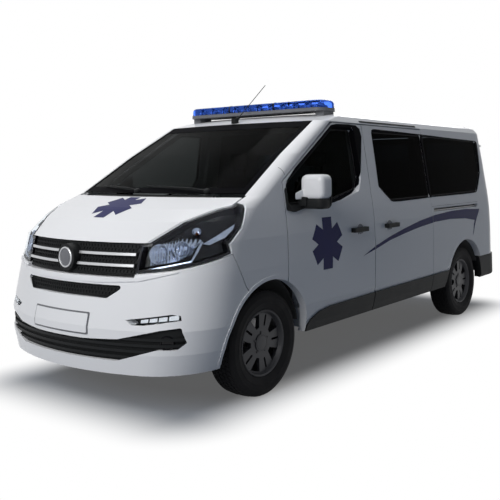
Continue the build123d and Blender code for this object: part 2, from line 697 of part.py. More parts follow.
LENS_T = 6.0
LAMP_RIM = 14.0
LAMP_BACK = 12.0
LAMP_TOP_Z = 1300.0
bonnet_rim = [(x + LAMP_RIM / 2, y + LAMP_RIM) for x, y in bonnet_keep_out]
lamp_hollow = both(
    side_prism(lamp_outline, LAMP_INNER_Y + LAMP_RIM, FAR, shrink=LAMP_RIM)
    & block(0, FAR, 0, FAR, 0, LAMP_TOP_Z - LAMP_RIM)
) - plan_prism(
    bonnet_rim + [(1390.0, 700.0), (1390.0, -700.0)] + [(x, -y) for x, y in bonnet_rim[::-1]],
    LEAD_Z - 20,
    WAIST_Z,
)
with BuildPart() as headlamps:
    add(band(LENS_T, WALL, BASE_Z, WAIST_Z))
    add(lamp_zone, mode=Mode.INTERSECT)
    add(bonnet_zone, mode=Mode.SUBTRACT)
    add(block(0, FAR, -FAR, FAR, 0, LAMP_TOP_Z), mode=Mode.INTERSECT)
    add(lamp_hollow - envelope(WALL - LAMP_BACK, BASE_Z, WAIST_Z), mode=Mode.SUBTRACT)

with BuildPart() as lamp_lenses:
    add(band(0, LENS_T, BASE_Z, WAIST_Z))
    add(lamp_zone, mode=Mode.INTERSECT)
    add(bonnet_zone, mode=Mode.SUBTRACT)
    add(block(0, FAR, -FAR, FAR, 0, LAMP_TOP_Z), mode=Mode.INTERSECT)
    add(band(8, WALL, BASE_Z, LEAD_Z) & both(front_prism(day_lamp_outline, 1990, FAR)))

# Structure behind the nose: fire wall, cowl tray, inner wings, arch liners and the carrier belt
FIREWALL_X = 1130.0
FIREWALL_T = 20.0
TRAY_Z = 1190.0
TRAY_T = 15.0
SCUTTLE_IN = 45.0
SCUTTLE_HALF = BONNET_HINGE_Y - 25.0
SCUTTLE_WALL_X = 1735.0
INNER_WING_Y = 480.0
INNER_WING_T = 6.0
ARCH_FRONT_X = 1990.0
CROSS_Z = (240.0, 300.0)
with BuildPart() as front_structure:
    add(envelope(SILL_IN, BASE_Z, WAIST_Z)
        & (block(FIREWALL_X, FIREWALL_X + FIREWALL_T, -FAR, FAR, 365, TRAY_Z)
           + block(FIREWALL_X, 1790, -FAR, FAR, TRAY_Z, TRAY_Z + TRAY_T)))
    for side in SIDES:
        inner = side * (INNER_WING_Y + INNER_WING_T / 2)
        add(block(FIREWALL_X, ARCH_FRONT_X + 10, inner - INNER_WING_T / 2, inner + INNER_WING_T / 2,
                  CROSS_Z[0], TRAY_Z + 5))
        low_y = side * BONNET_HINGE_Y - side * (BONNET_EAR_T + 1)
        bracket = [(1725.0, TRAY_Z + 5), (1788.0, TRAY_Z + 5), (1772.0, 1284.0), (1748.0, 1284.0)]
        add(side_prism(bracket, low_y - 5, low_y + 5))
        pin = sorted((low_y, side * BONNET_HINGE_Y + side * BONNET_EAR_T / 2))
        add(cross_rod(BONNET_HINGE_X, BONNET_HINGE_Z, BONNET_PIN_R, pin[0], pin[1]))
    liner = (
        cross_rod(FRONT_AXLE_X, WHEEL_Z, LINER_R + LINER_T, INNER_WING_Y + 1, 845)
        - cross_rod(FRONT_AXLE_X, WHEEL_Z, LINER_R, 0, FAR)
    ) & block(FIREWALL_X + 5, ARCH_FRONT_X + 5, 0, FAR, 420, FAR)
    add(both(liner))
    add(band(WALL, WALL + 15, BASE_Z, LEAD_Z) & block(1840, FAR, -FAR, FAR, 830, 900))
    scuttle = block(DOOR_FRONT_X, 1850, -SCUTTLE_HALF, SCUTTLE_HALF, TRAY_Z + 5, WAIST_Z)
    add(band(SCUTTLE_IN, SCUTTLE_IN + TRAY_T, LEAD_Z, WAIST_Z) & scuttle)
    scuttle_wall = block(
        SCUTTLE_WALL_X, SCUTTLE_WALL_X + INNER_WING_T, -SCUTTLE_HALF, SCUTTLE_HALF, TRAY_Z + 5, WAIST_Z
    )
    add(envelope(SCUTTLE_IN, LEAD_Z, WAIST_Z) & scuttle_wall)
    add(both(envelope(WALL + 10, BASE_Z, LEAD_Z)
             & block(ARCH_FRONT_X, ARCH_FRONT_X + 12, INNER_WING_Y, FAR, 430, 900)))

# Floor with the rear wheel houses
FLOOR_HALF = 890.0
FLOOR_END_X = TAIL_X + 130.0
HOUSE_IN_Y = 634.0
with BuildPart() as floor_pan:
    floor_side = [(FLOOR_END_X, 680.0), (-2200.0, 850.0), (-1960.0, 850.0), (-1900.0, FLOOR_HALF),
                  (1075.0, FLOOR_HALF),
                  (1075.0, 784.0), (FIREWALL_X, 784.0)]
    add(plan_prism(floor_side + [(x, -y) for x, y in floor_side[::-1]], FLOOR_Z - FLOOR_T, FLOOR_Z))
    house_cut = block(REAR_AXLE_X - LINER_R, REAR_AXLE_X + LINER_R, HOUSE_IN_Y + 6, FAR, 0, 560)
    add(both(house_cut), mode=Mode.SUBTRACT)
    house = (
        cross_rod(REAR_AXLE_X, WHEEL_Z, LINER_R + LINER_T, HOUSE_IN_Y, 914)
        - cross_rod(REAR_AXLE_X, WHEEL_Z, LINER_R, HOUSE_IN_Y + LINER_T, FAR)
    ) & block(REAR_AXLE_X - 600, REAR_AXLE_X + 600, 0, FAR, FLOOR_Z - FLOOR_T, FAR)
    add(both(house) & envelope(WALL, BASE_Z, GUTTER_Z))

# Cab fittings
with BuildPart() as dashboard:
    add(side_prism([(FIREWALL_X, 880.0), (1020.0, 950.0), (990.0, 1140.0), (1050.0, 1232.0), (1300.0, 1262.0),
                    (1540.0, 1262.0), (1590.0, TRAY_Z + TRAY_T), (FIREWALL_X, TRAY_Z + TRAY_T)], -770, 770))

WHEEL_HUB = (930.0, 400.0, 1120.0)
with BuildPart() as steering_wheel:
    with Locations(Location(WHEEL_HUB, (0, -60, 0))):
        Torus(185, 15)
        Cylinder(45, 40)
        Box(30, 360, 14)
        Box(360, 30, 14)
    with Locations(Location((WHEEL_HUB[0] + 52, WHEEL_HUB[1], WHEEL_HUB[2] - 30), (0, -60, 0))):
        Cylinder(28, 120)
    add(dashboard.part, mode=Mode.SUBTRACT)

SEAT_YS = (430.0, -430.0)
with BuildPart() as cab_seats:
    for y in SEAT_YS:
        add(block(430, 860, y - 200, y + 200, FLOOR_Z, 760))
        with BuildSketch(Plane((0, y + 250, 0), x_dir=(1, 0, 0), z_dir=(0, -1, 0))) as seat_side:
            with BuildLine():
                Polyline(
                    (400, 750), (940, 780), (950, 900), (480, 880), (370, 1480), (250, 1470), (340, 800),
                    close=True,
                )
            make_face()
            fillet(seat_side.vertices(), 35)
        extrude(amount=500)
        add(block(270, 350, y - 120, y + 120, 1470, 1650))

BULKHEAD_X = (150.0, 190.0)
with BuildPart() as bulkhead:
    add(envelope(FRAME_IN, BASE_Z, GUTTER_Z))
    add(block(BULKHEAD_X[0], BULKHEAD_X[1], -FAR, FAR, FLOOR_Z, 1810), mode=Mode.INTERSECT)
    add(front_prism([(-330.0, 1300.0), (330.0, 1300.0), (330.0, 1620.0), (-330.0, 1620.0)], 100, 240, 50),
        mode=Mode.SUBTRACT)

# Patient compartment: stretcher on its base
with BuildPart() as stretcher:
    add(block(-2150, -350, -100, 420, FLOOR_Z, FLOOR_Z + 60))
    for x in (-1900.0, -700.0):
        add(block(x - 40, x + 40, -40, 360, FLOOR_Z + 50, 900))
    add(block(-2200, -300, -120, 440, 890, 930))
    with BuildSketch(Plane((0, 420, 0), x_dir=(1, 0, 0), z_dir=(0, -1, 0))) as pad:
        with BuildLine():
            Polyline(
                (-2190, 930), (-900, 930), (-330, 1180), (-360, 1250), (-920, 1010), (-2190, 1010),
                close=True,
            )
        make_face()
        fillet(pad.vertices(), 20)
    extrude(amount=520)

# Side cladding and handles on the sliding doors and rear quarters
sliding_cladding = [
    (B_SEAM_X - DOOR_GAP / 2, SILL_Z),
    (B_SEAM_X - DOOR_GAP / 2, CLADDING_TOP - 1),
    (C_SEAM_X + PANEL_GAP / 2, CLADDING_TOP + 5),
    (C_SEAM_X + PANEL_GAP / 2, SILL_Z),
]
quarter_cladding = [
    (C_SEAM_X - PANEL_GAP / 2, SILL_Z),
    (C_SEAM_X - PANEL_GAP / 2, CLADDING_TOP + 5),
    (-1300.0, CLADDING_TOP + 7),
    (-1300.0, SILL_Z),
]
with BuildPart() as side_cladding:
    add(both(skin_piece(sliding_cladding, CLADDING_T, BASE_Z, LEAD_Z)
             + skin_piece(quarter_cladding, CLADDING_T, BASE_Z, LEAD_Z)))
    add(rear_arches, mode=Mode.SUBTRACT)
    add(both(handle_bar(-110.0, 90.0)))

# Tail: bumper and lamps
REAR_BUMPER_Z = (330.0, 555.0)
REAR_BUMPER_T = 90.0
with BuildPart() as rear_bumper:
    with BuildSketch(Plane.XY.offset(REAR_BUMPER_Z[0])) as outer:
        with BuildLine():
            half = HALF_WIDTH - 22
            Polyline((-1900, half), (TAIL_X, half), (TAIL_X, -half), (-1900, -half), close=True)
        make_face()
        fillet(outer.vertices().group_by(Axis.X)[0], 300)
    extrude(amount=REAR_BUMPER_Z[1] - REAR_BUMPER_Z[0])
    fillet(rear_bumper.faces().sort_by(Axis.Z)[0].edges().sort_by(Axis.X)[:5], 24)
    with BuildSketch(Plane.XY.offset(REAR_BUMPER_Z[0] - 5)) as inner:
        with BuildLine():
            half = HALF_WIDTH - 22 - REAR_BUMPER_T
            rear = TAIL_X + REAR_BUMPER_T
            Polyline((-1800, half), (rear, half), (rear, -half), (-1800, -half), close=True)
        make_face()
        fillet(inner.vertices().group_by(Axis.X)[0], 210)
    extrude(amount=400, mode=Mode.SUBTRACT)
    add(rear_arches, mode=Mode.SUBTRACT)
    add(cross_rod(REAR_AXLE_X, WHEEL_Z, LINER_R + LINER_T + PANEL_GAP, -920, 920), mode=Mode.SUBTRACT)
    add(band(24, WALL, BASE_Z, LEAD_Z)
        & both(block(TAIL_X, REAR_AXLE_X - 300, 760, FAR, REAR_BUMPER_Z[1] - 10, REAR_SILL_Z))
        - rear_arches)

with BuildPart() as tail_lamps:
    add(both(band(0, TAIL_LAMP_T, BASE_Z, WAIST_Z) & tail_lamp_zone))

# Light bar and aerial on the roof
BAR_X = 525.0
BAR_DEPTH = 250.0
BAR_HALF = 740.0
BAR_LOW_Z = 1952.0
BAR_BASE_H = 26.0
BAR_TOP_Z = 2042.0
ROOF_SOLID = envelope(0, GUTTER_Z, BREAKS[-1])


def bar_layer(low_z, high_z, half_length, depth, corner):
    with BuildPart() as layer:
        with BuildSketch(Plane.XY.offset(low_z)) as outline:
            with Locations((BAR_X, 0)):
                RectangleRounded(depth, 2 * half_length, corner)
        extrude(amount=high_z - low_z)
    return layer.part


with BuildPart() as light_bar_base:
    add(bar_layer(BAR_LOW_Z, BAR_LOW_Z + BAR_BASE_H, BAR_HALF, BAR_DEPTH, 90))
    for side in SIDES:
        add(block(BAR_X - 70, BAR_X + 70, side * 680 - 40, side * 680 + 40, 1890, BAR_LOW_Z + 4))
    add(ROOF_SOLID, mode=Mode.SUBTRACT)

with BuildPart() as light_bar_lens:
    add(bar_layer(BAR_LOW_Z + BAR_BASE_H, BAR_TOP_Z, BAR_HALF - 6, BAR_DEPTH - 12, 85))
    fillet(light_bar_lens.faces().sort_by(Axis.Z)[-1].edges(), 30)

AERIAL_X = 842.0
AERIAL_L = 520.0
AERIAL_LEAN = 49.0
with BuildPart() as aerial:
    with Locations(Location((AERIAL_X, 0, 1880), (0, -AERIAL_LEAN, 0))):
        Cylinder(3, AERIAL_L, align=(Align.CENTER, Align.CENTER, Align.MIN))
        Cylinder(12, 60, align=(Align.CENTER, Align.CENTER, Align.MIN))
    with Locations((AERIAL_X, 0, 1870)):
        Cylinder(30, 40, align=(Align.CENTER, Align.CENTER, Align.MIN))
    add(ROOF_SOLID, mode=Mode.SUBTRACT)
    add(envelope(0, WAIST_Z, GUTTER_Z), mode=Mode.SUBTRACT)

# Engine, front suspension and rear axle
with BuildPart() as engine_block:
    add(block(1500, 2130, -380, 380, CROSS_Z[1], 960))
    chamfer(engine_block.edges(), 30)

KING_IN = 60.0
KING_Y = FRONT_TRACK / 2 - KING_IN
KING_R = 12.0
ARM_LOW_Z = (215.0, 237.0)
ARM_TOP_Z = (453.0, 475.0)
with BuildPart() as front_subframe:
    add(block(1480, 1650, -INNER_WING_Y, INNER_WING_Y, CROSS_Z[0], CROSS_Z[1]))
    for side in SIDES:
        for low_z, high_z in (ARM_LOW_Z, ARM_TOP_Z):
            root = side * (INNER_WING_Y + INNER_WING_T)
            tip = side * KING_Y
            arm = [(FRONT_AXLE_X - 90, root), (FRONT_AXLE_X + 90, root), (FRONT_AXLE_X + 26, tip),
                   (FRONT_AXLE_X - 26, tip)]
            add(plan_prism(arm if side > 0 else arm[::-1], low_z, high_z)
                + upright(FRONT_AXLE_X, tip, 30, low_z, high_z)
                - upright(FRONT_AXLE_X, tip, KING_R + RUN, low_z - 1, high_z + 1))

KNUCKLE_R = 70.0
with BuildPart() as knuckle_left:
    add(upright(FRONT_AXLE_X, KING_Y, 34, ARM_LOW_Z[1] + 6, ARM_TOP_Z[0] - 6))
    add(upright(FRONT_AXLE_X, KING_Y, KING_R, ARM_LOW_Z[0], ARM_TOP_Z[1]))
    add(cross_rod(FRONT_AXLE_X, WHEEL_Z, KNUCKLE_R, KING_Y, KING_Y + 26))
    add(cross_rod(FRONT_AXLE_X, WHEEL_Z, SPINDLE_R, KING_Y, FRONT_TRACK / 2 + 50))
with BuildPart() as knuckle_right:
    mirror(knuckle_left.part, about=Plane.XZ)

BEAM_Z = 330.0
with BuildPart() as rear_axle:
    add(cross_rod(REAR_AXLE_X, BEAM_Z, 50, -650, 650))
    add(both(cross_rod(REAR_AXLE_X, WHEEL_Z, KNUCKLE_R, 640, REAR_TRACK / 2 - 40)))
    add(both(cross_rod(REAR_AXLE_X, WHEEL_Z, SPINDLE_R, 640, REAR_TRACK / 2 + 50)))
    add(both(upright(REAR_AXLE_X, 560, 55, BEAM_Z, FLOOR_Z - FLOOR_T)))
    add(both(side_prism([(REAR_AXLE_X, BEAM_Z - 30), (REAR_AXLE_X, BEAM_Z + 40),
                         (-1100.0, 500.0), (-1020.0, 500.0)],
                        520, 580)))

# Wheels: section of the tyre and of the rim, radius against distance from the middle plane
HUB_FACE = 26.0
DISH = 40.0


def wheel_tyre(x, y):
    with BuildPart() as tyre:
        with BuildSketch(Plane.XY):
            with BuildLine():
                half = TYRE_W / 2
                Line((RIM_R, -RIM_W / 2), (RIM_R, RIM_W / 2))
                for s in SIDES:
                    ThreePointArc((RIM_R, s * RIM_W / 2), (FLANGE_R + 20, s * (half - 12)), (285, s * half))
                    shoulder = (TYRE_R - 24, s * (half - 8))
                    ThreePointArc((285, s * half), shoulder, (TYRE_R - 5, s * (half - 30)))
                ThreePointArc((TYRE_R - 5, -half + 30), (TYRE_R, 0), (TYRE_R - 5, half - 30))
            make_face()
        revolve(axis=Axis.Y)
    return Pos(x, y, WHEEL_Z) * tyre.part


def wheel_rim(x, y, side):
    with BuildPart() as rim:
        with BuildSketch(Plane.XY):
            with BuildLine():
                Polyline(
                    (RIM_R, -RIM_W / 2),
                    (RIM_R, RIM_W / 2),
                    (RIM_R - 8, RIM_W / 2 + 6),
                    (RIM_R - 14, RIM_W / 2),
                    (190, 62),
                    (75, HUB_FACE + DISH),
                    (SPINDLE_R + RUN, HUB_FACE + DISH),
                    (SPINDLE_R + RUN, HUB_FACE),
                    (75, HUB_FACE),
                    (190, 40),
                    (RIM_R - 12, 20),
                    (RIM_R - 12, -RIM_W / 2),
                    close=True,
                )
            make_face()
        revolve(axis=Axis.Y)
        with BuildSketch(Plane.XZ.offset(-100)):
            with PolarLocations(0, SPOKES):
                Polygon((100, -14), (182, -46), (186, 0), (182, 46), (100, 14), align=None)
            with PolarLocations(0, SPOKES, start_angle=180 / SPOKES):
                with Locations((146, 0)):
                    SlotOverall(76, 16)
        extrude(amount=100, mode=Mode.SUBTRACT)
        with BuildSketch(Plane.XZ.offset(-HUB_FACE - DISH)):
            Circle(58)
        extrude(amount=-6)
    turned = rim.part if side > 0 else Rot(0, 0, 180) * rim.part
    return Pos(x, y, WHEEL_Z) * turned


# Wheels: name, axle X, side of the vehicle, track
WHEELS = [
    ("front_left", FRONT_AXLE_X, 1, FRONT_TRACK),
    ("front_right", FRONT_AXLE_X, -1, FRONT_TRACK),
    ("rear_left", REAR_AXLE_X, 1, REAR_TRACK),
    ("rear_right", REAR_AXLE_X, -1, REAR_TRACK),
]

PIECES = {
    "floor_pan": floor_pan,
    "roof_panel": roof_panel,
    "side_panel_left": side_panel_left,
    "sliding_door_left": sliding_door_left,
    "sliding_door_right": sliding_door_right,
    "fixed_glass": fixed_glass,
    "windscreen": windscreen,
    "front_wings": front_wings,
    "front_bumper": front_bumper,
    "upper_grille": upper_grille,
    "lower_grille": lower_grille,
    "headlamps": headlamps,
    "lamp_lenses": lamp_lenses,
    "front_structure": front_structure,
    "dashboard": dashboard,
    "steering_wheel": steering_wheel,
    "cab_seats": cab_seats,
    "bulkhead": bulkhead,
    "stretcher": stretcher,
    "side_cladding": side_cladding,
    "rear_bumper": rear_bumper,
    "tail_lamps": tail_lamps,
    "light_bar_base": light_bar_base,
    "light_bar_lens": light_bar_lens,
    "aerial": aerial,
    "engine_block": engine_block,
    "front_subframe": front_subframe,
    "rear_axle": rear_axle,
    "front_door_left": front_door_left,
    "front_door_right": front_door_right,
    "door_glass_left": door_glass_left,
    "door_glass_right": door_glass_right,
    "mirror_left": mirror_left,
    "mirror_right": mirror_right,
    "door_trim_left": door_trim_left,
    "door_trim_right": door_trim_right,
    "rear_door_left": rear_door_left,
    "rear_door_right": rear_door_right,
    "rear_glass_left": rear_glass_left,
    "rear_glass_right": rear_glass_right,
    "bonnet": bonnet,
    "knuckle_left": knuckle_left,
    "knuckle_right": knuckle_right,
}
with BuildPart() as side_panel_right:
    mirror(side_panel_left.part, about=Plane.XZ)
PIECES["side_panel_right"] = side_panel_right

for name, axle_x, side, track in WHEELS:
    with BuildPart() as tyre:
        add(wheel_tyre(axle_x, side * track / 2))
    PIECES["tyre_" + name] = tyre
    with BuildPart() as rim:
        add(wheel_rim(axle_x, side * track / 2, side))
    PIECES["rim_" + name] = rim

for name, piece in PIECES.items():
    piece.part.label = name
    export_step(piece.part, "parts/" + name + ".step")
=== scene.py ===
import json
import math

import bmesh
import bpy
from bpy.props import FloatProperty, FloatVectorProperty, IntProperty, PointerProperty
from mathutils import Matrix, Vector
from mathutils.bvhtree import BVHTree

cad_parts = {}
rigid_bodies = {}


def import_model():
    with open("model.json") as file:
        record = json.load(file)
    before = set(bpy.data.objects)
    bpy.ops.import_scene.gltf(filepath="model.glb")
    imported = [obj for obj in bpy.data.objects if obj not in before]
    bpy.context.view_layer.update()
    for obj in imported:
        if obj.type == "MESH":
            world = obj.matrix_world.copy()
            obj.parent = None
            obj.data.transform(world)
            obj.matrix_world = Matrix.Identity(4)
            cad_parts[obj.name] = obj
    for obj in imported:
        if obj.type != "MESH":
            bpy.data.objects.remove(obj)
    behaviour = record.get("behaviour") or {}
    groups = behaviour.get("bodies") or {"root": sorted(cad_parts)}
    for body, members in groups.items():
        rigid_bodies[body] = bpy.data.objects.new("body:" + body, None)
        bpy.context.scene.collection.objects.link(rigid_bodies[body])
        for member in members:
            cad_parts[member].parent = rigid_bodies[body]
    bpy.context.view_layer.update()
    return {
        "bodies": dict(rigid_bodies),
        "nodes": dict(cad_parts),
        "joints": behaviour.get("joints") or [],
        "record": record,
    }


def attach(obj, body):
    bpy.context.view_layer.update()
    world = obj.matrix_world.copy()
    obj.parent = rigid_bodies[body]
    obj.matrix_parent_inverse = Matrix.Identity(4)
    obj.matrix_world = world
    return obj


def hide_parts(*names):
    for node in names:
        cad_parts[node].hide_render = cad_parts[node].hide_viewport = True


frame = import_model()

bl_info = {
    "name": "Ambulance van dressing",
    "version": (1, 0, 0),
    "blender": (4, 5, 0),
    "location": "View3D > Sidebar > Van",
    "description": "Finishes, lamps, trim, livery and upholstery of an ambulance van",
    "category": "Object",
}

NODES = frame["nodes"]
SIDES = (("left", 1), ("right", -1))

# The two axes across each axis, and how far from the middle rays start: beside the van, and in front or behind
PLANES = ((1, 2), (0, 2), (0, 1))
BESIDE = 1.3
BEYOND = 3.0


class VanColours(bpy.types.PropertyGroup):
    """Colours of the van's finishes."""

    paint: FloatVectorProperty(name="Body paint", description="Colour of the body panels",
                               subtype="COLOR", size=3, default=(0.78, 0.79, 0.82))
    livery: FloatVectorProperty(name="Livery", description="Colour of the stars and stripes",
                                subtype="COLOR", size=3, default=(0.016, 0.018, 0.085))
    plastic: FloatVectorProperty(name="Dark plastic", description="Colour of cladding and grilles",
                                 subtype="COLOR", size=3, default=(0.014, 0.015, 0.016))
    wheel: FloatVectorProperty(name="Wheel covers", description="Colour of the wheel covers",
                               subtype="COLOR", size=3, default=(0.028, 0.029, 0.034))
    blue: FloatVectorProperty(name="Blue lens", description="Colour of the light bar's lens",
                              subtype="COLOR", size=3, default=(0.15, 0.25, 0.55))


class VanSizes(bpy.types.PropertyGroup):
    """Sizes of the pieces added to the van."""

    film: FloatProperty(name="Livery film", description="How far the livery film stands off the paint",
                        unit="LENGTH", default=0.0011)
    film_step: FloatProperty(name="Film step", description="Largest facet of the livery film",
                             unit="LENGTH", default=0.03)
    tread_blocks: IntProperty(name="Tread blocks", description="Blocks around one tyre", default=64)
    tread_depth: FloatProperty(name="Tread depth", description="Depth of the tread grooves",
                               unit="LENGTH", default=0.004)
    mesh_pitch: FloatProperty(name="Mesh pitch", description="Width of one cell of the grille mesh",
                              unit="LENGTH", default=0.026)


class VanStage(bpy.types.PropertyGroup):
    """Camera that looks at the van."""

    place: FloatVectorProperty(name="Camera place", description="Where the camera stands",
                               subtype="TRANSLATION", size=3, default=(5.241, 3.963, 1.481))
    yaw: FloatProperty(name="Yaw", description="Direction the camera looks in, from +X",
                       subtype="ANGLE", default=math.radians(215.22))
    pitch: FloatProperty(name="Pitch", description="How far the camera looks up",
                         subtype="ANGLE", default=math.radians(2.95))
    roll: FloatProperty(name="Roll", description="How far the camera is tilted",
                        subtype="ANGLE", default=math.radians(-0.61))
    focal: FloatProperty(name="Focal length", description="Focal length in picture widths", default=1.4276)
    shift: FloatVectorProperty(name="Shift", description="Shift of the picture", size=2, default=(-0.14, -0.234))


# Finishes

FINISHES = {}
GLASS_IOR = 1.03
GLOSS_SPREAD = 0.15
GRAIN_DEPTH = 0.0006
WEAVE_DEPTH = 0.001


def shader_of(material):
    """The main shader of a finish."""
    return material.node_tree.nodes["Principled BSDF"]


def add_node(tree, kind, inputs=(), **settings):
    """Adds a node with its settings. Each input gets a plain value or the output that feeds it."""
    node = tree.nodes.new(kind)
    for key, value in settings.items():
        setattr(node, key, value)
    for key, value in dict(inputs).items():
        if isinstance(value, bpy.types.NodeSocket):
            tree.links.new(value, node.inputs[key])
        else:
            node.inputs[key].default_value = value
    return node


def add_bump(material, height, strength, distance):
    """Lets a height raise the surface of a finish."""
    tree = material.node_tree
    bump = add_node(tree, "ShaderNodeBump", {"Strength": strength, "Distance": distance, "Height": height})
    tree.links.new(bump.outputs["Normal"], shader_of(material).inputs["Normal"])


def finish(name, colour, rough, metal=0.0, coat=0.0, shade=0.05, shade_scale=4.0, grain=0.0, grain_scale=700.0,
           cells=False, sheen=0.0, gloss_level=0.5):
    """Makes a finish with mottled colour, uneven gloss and surface grain on Object coordinates."""
    material = bpy.data.materials.new(name)
    material.use_nodes = True
    tree = material.node_tree
    shader = shader_of(material)
    shader.inputs["Metallic"].default_value = metal
    shader.inputs["Coat Weight"].default_value = coat
    shader.inputs["Specular IOR Level"].default_value = gloss_level
    shader.inputs["Coat Roughness"].default_value = 0.04
    shader.inputs["Sheen Weight"].default_value = sheen
    place = tree.nodes.new("ShaderNodeTexCoord").outputs["Object"]
    clouds = add_node(tree, "ShaderNodeTexNoise", {"Scale": shade_scale, "Detail": 5.0, "Vector": place}).outputs["Fac"]
    ramp = add_node(tree, "ShaderNodeValToRGB", {"Fac": clouds})
    for element, position, factor in zip(ramp.color_ramp.elements, (0.3, 0.7), (1 - shade, 1 + shade)):
        element.position = position
        element.color = [min(1.0, part * factor) for part in colour] + [1.0]
    tree.links.new(ramp.outputs["Color"], shader.inputs["Base Color"])
    gloss = add_node(tree, "ShaderNodeMapRange", {"Value": clouds, "To Min": max(0.0, rough * (1 - GLOSS_SPREAD)),
                                                  "To Max": min(1.0, rough * (1 + GLOSS_SPREAD))})
    tree.links.new(gloss.outputs["Result"], shader.inputs["Roughness"])
    if grain > 0:
        kind, output = ("ShaderNodeTexVoronoi", "Distance") if cells else ("ShaderNodeTexNoise", "Fac")
        skin = add_node(tree, kind, {"Scale": grain_scale, "Vector": place})
        add_bump(material, skin.outputs[output], grain, GRAIN_DEPTH)
    FINISHES[name] = material
    return material


def glass_finish(name, colour, rough=0.02):
    """Makes see-through glass or lens plastic with a faint haze in its gloss."""
    shader = shader_of(finish(name, colour, rough, shade=0.03, shade_scale=6.0))
    shader.inputs["Transmission Weight"].default_value = 1.0
    shader.inputs["IOR"].default_value = GLASS_IOR


def weave_finish(name, colour, rough, threads):
    """Makes cloth with two crossing sets of threads."""
    material = finish(name, colour, rough, shade=0.18, shade_scale=30.0, sheen=0.3)
    tree = material.node_tree
    place = tree.nodes.new("ShaderNodeTexCoord").outputs["Object"]
    wave = {"Scale": threads, "Distortion": 0.6, "Vector": place}
    across, up = [add_node(tree, "ShaderNodeTexWave", wave, bands_direction=direction).outputs["Fac"]
                  for direction in ("Y", "Z")]
    cross = add_node(tree, "ShaderNodeMath", {0: across, 1: up}, operation="MULTIPLY")
    add_bump(material, cross.outputs[0], 0.5, WEAVE_DEPTH)


# Shapes


def object_of(name, build):
    """Turns a bmesh into an object in the scene."""
    mesh = bpy.data.meshes.new(name)
    build.to_mesh(mesh)
    build.free()
    piece = bpy.data.objects.new(name, mesh)
    bpy.context.scene.collection.objects.link(piece)
    return piece


def new_piece(name, build, look, body, replaced=()):
    """Turns a bmesh into a finished piece that rides on a body."""
    bmesh.ops.recalc_face_normals(build, faces=build.faces)
    piece = object_of(name, build)
    piece.data.materials.append(FINISHES[look])
    return settle(piece, body, replaced)


def settle(piece, body, replaced=()):
    """Parents a piece to the body it rides on and hides the nodes it stands for."""
    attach(piece, body)
    if replaced:
        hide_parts(*replaced)
    return piece


def smooth(piece, degrees=35.0):
    """Shades a piece smoothly, apart from edges sharper than an angle."""
    piece.data.shade_smooth()
    piece.data.set_sharp_from_angle(angle=math.radians(degrees))
    return piece


def merge(build, part):
    """Adds one bmesh to another and frees it."""
    held = bpy.data.meshes.new("held")
    part.to_mesh(held)
    part.free()
    build.from_mesh(held)


def skin_of(*names):
    """One tree for casting rays onto CAD nodes."""
    build = bmesh.new()
    for name in names:
        build.from_mesh(NODES[name].data)
    tree = BVHTree.FromBMesh(build)
    build.free()
    return tree


def on_axis(axis, value):
    """A vector along one axis."""
    vector = Vector((0.0, 0.0, 0.0))
    vector[axis] = value
    return vector


def cast(skin, axis, start, along, across):
    """Where a ray that starts out on an axis and runs inwards meets a skin, and the way out there."""
    toward = on_axis(axis, -math.copysign(1.0, start))
    origin = on_axis(axis, start)
    first, second = PLANES[axis]
    origin[first], origin[second] = along, across
    spot, normal, _, _ = skin.ray_cast(origin, toward)
    if spot is not None and normal.dot(toward) > 0:
        normal = -normal
    return spot, normal


def film(outline, skin, axis, start, step, lift, thickness, limits=None):
    """A thin film cut to an outline in the plane across an axis and laid on a skin along that axis."""
    build = bmesh.new()
    first, second = PLANES[axis]
    build.faces.new([build.verts.new(on_axis(first, along) + on_axis(second, across)) for along, across in outline])
    for direction, values in zip((first, second), zip(*outline)):
        low, high = min(values), max(values)
        for index in range(1, int((high - low) / step) + 1):
            everything = build.verts[:] + build.edges[:] + build.faces[:]
            bmesh.ops.bisect_plane(build, geom=everything, plane_co=on_axis(direction, low + index * step),
                                   plane_no=on_axis(direction, 1.0))
    if limits:
        for value, keep_above in zip(limits, (True, False)):
            everything = build.verts[:] + build.edges[:] + build.faces[:]
            bmesh.ops.bisect_plane(build, geom=everything, plane_co=on_axis(0, value), plane_no=on_axis(0, 1.0),
                                   clear_inner=keep_above, clear_outer=not keep_above)
    bmesh.ops.triangulate(build, faces=build.faces[:])
    lost = []
    for vert in build.verts:
        spot, normal = cast(skin, axis, start, vert.co[first], vert.co[second])
        if spot is None:
            lost.append(vert)
        else:
            vert.co = spot + normal * lift
    bmesh.ops.delete(build, geom=lost, context="VERTS")
    return sheet_to_film(build, thickness)


def sheet_to_film(build, thickness):
    """Gives a one-sided film its thickness, inwards."""
    bmesh.ops.recalc_face_normals(build, faces=build.faces)
    bmesh.ops.solidify(build, geom=build.faces[:], thickness=thickness)
    return build


def rounded_corners(points, radius, steps=4):
    """A closed outline with its corners rounded."""
    path = []
    count = len(points)
    for i in range(count):
        before, here, after = Vector(points[i - 1]), Vector(points[i]), Vector(points[(i + 1) % count])
        back, ahead = before - here, after - here
        a = here + back.normalized() * min(radius, back.length * 0.45)
        b = here + ahead.normalized() * min(radius, ahead.length * 0.45)
        for k in range(steps + 1):
            t = k / steps
            spot = a * (1 - t) ** 2 + here * 2 * t * (1 - t) + b * t ** 2
            path.append((spot.x, spot.y))
    return path


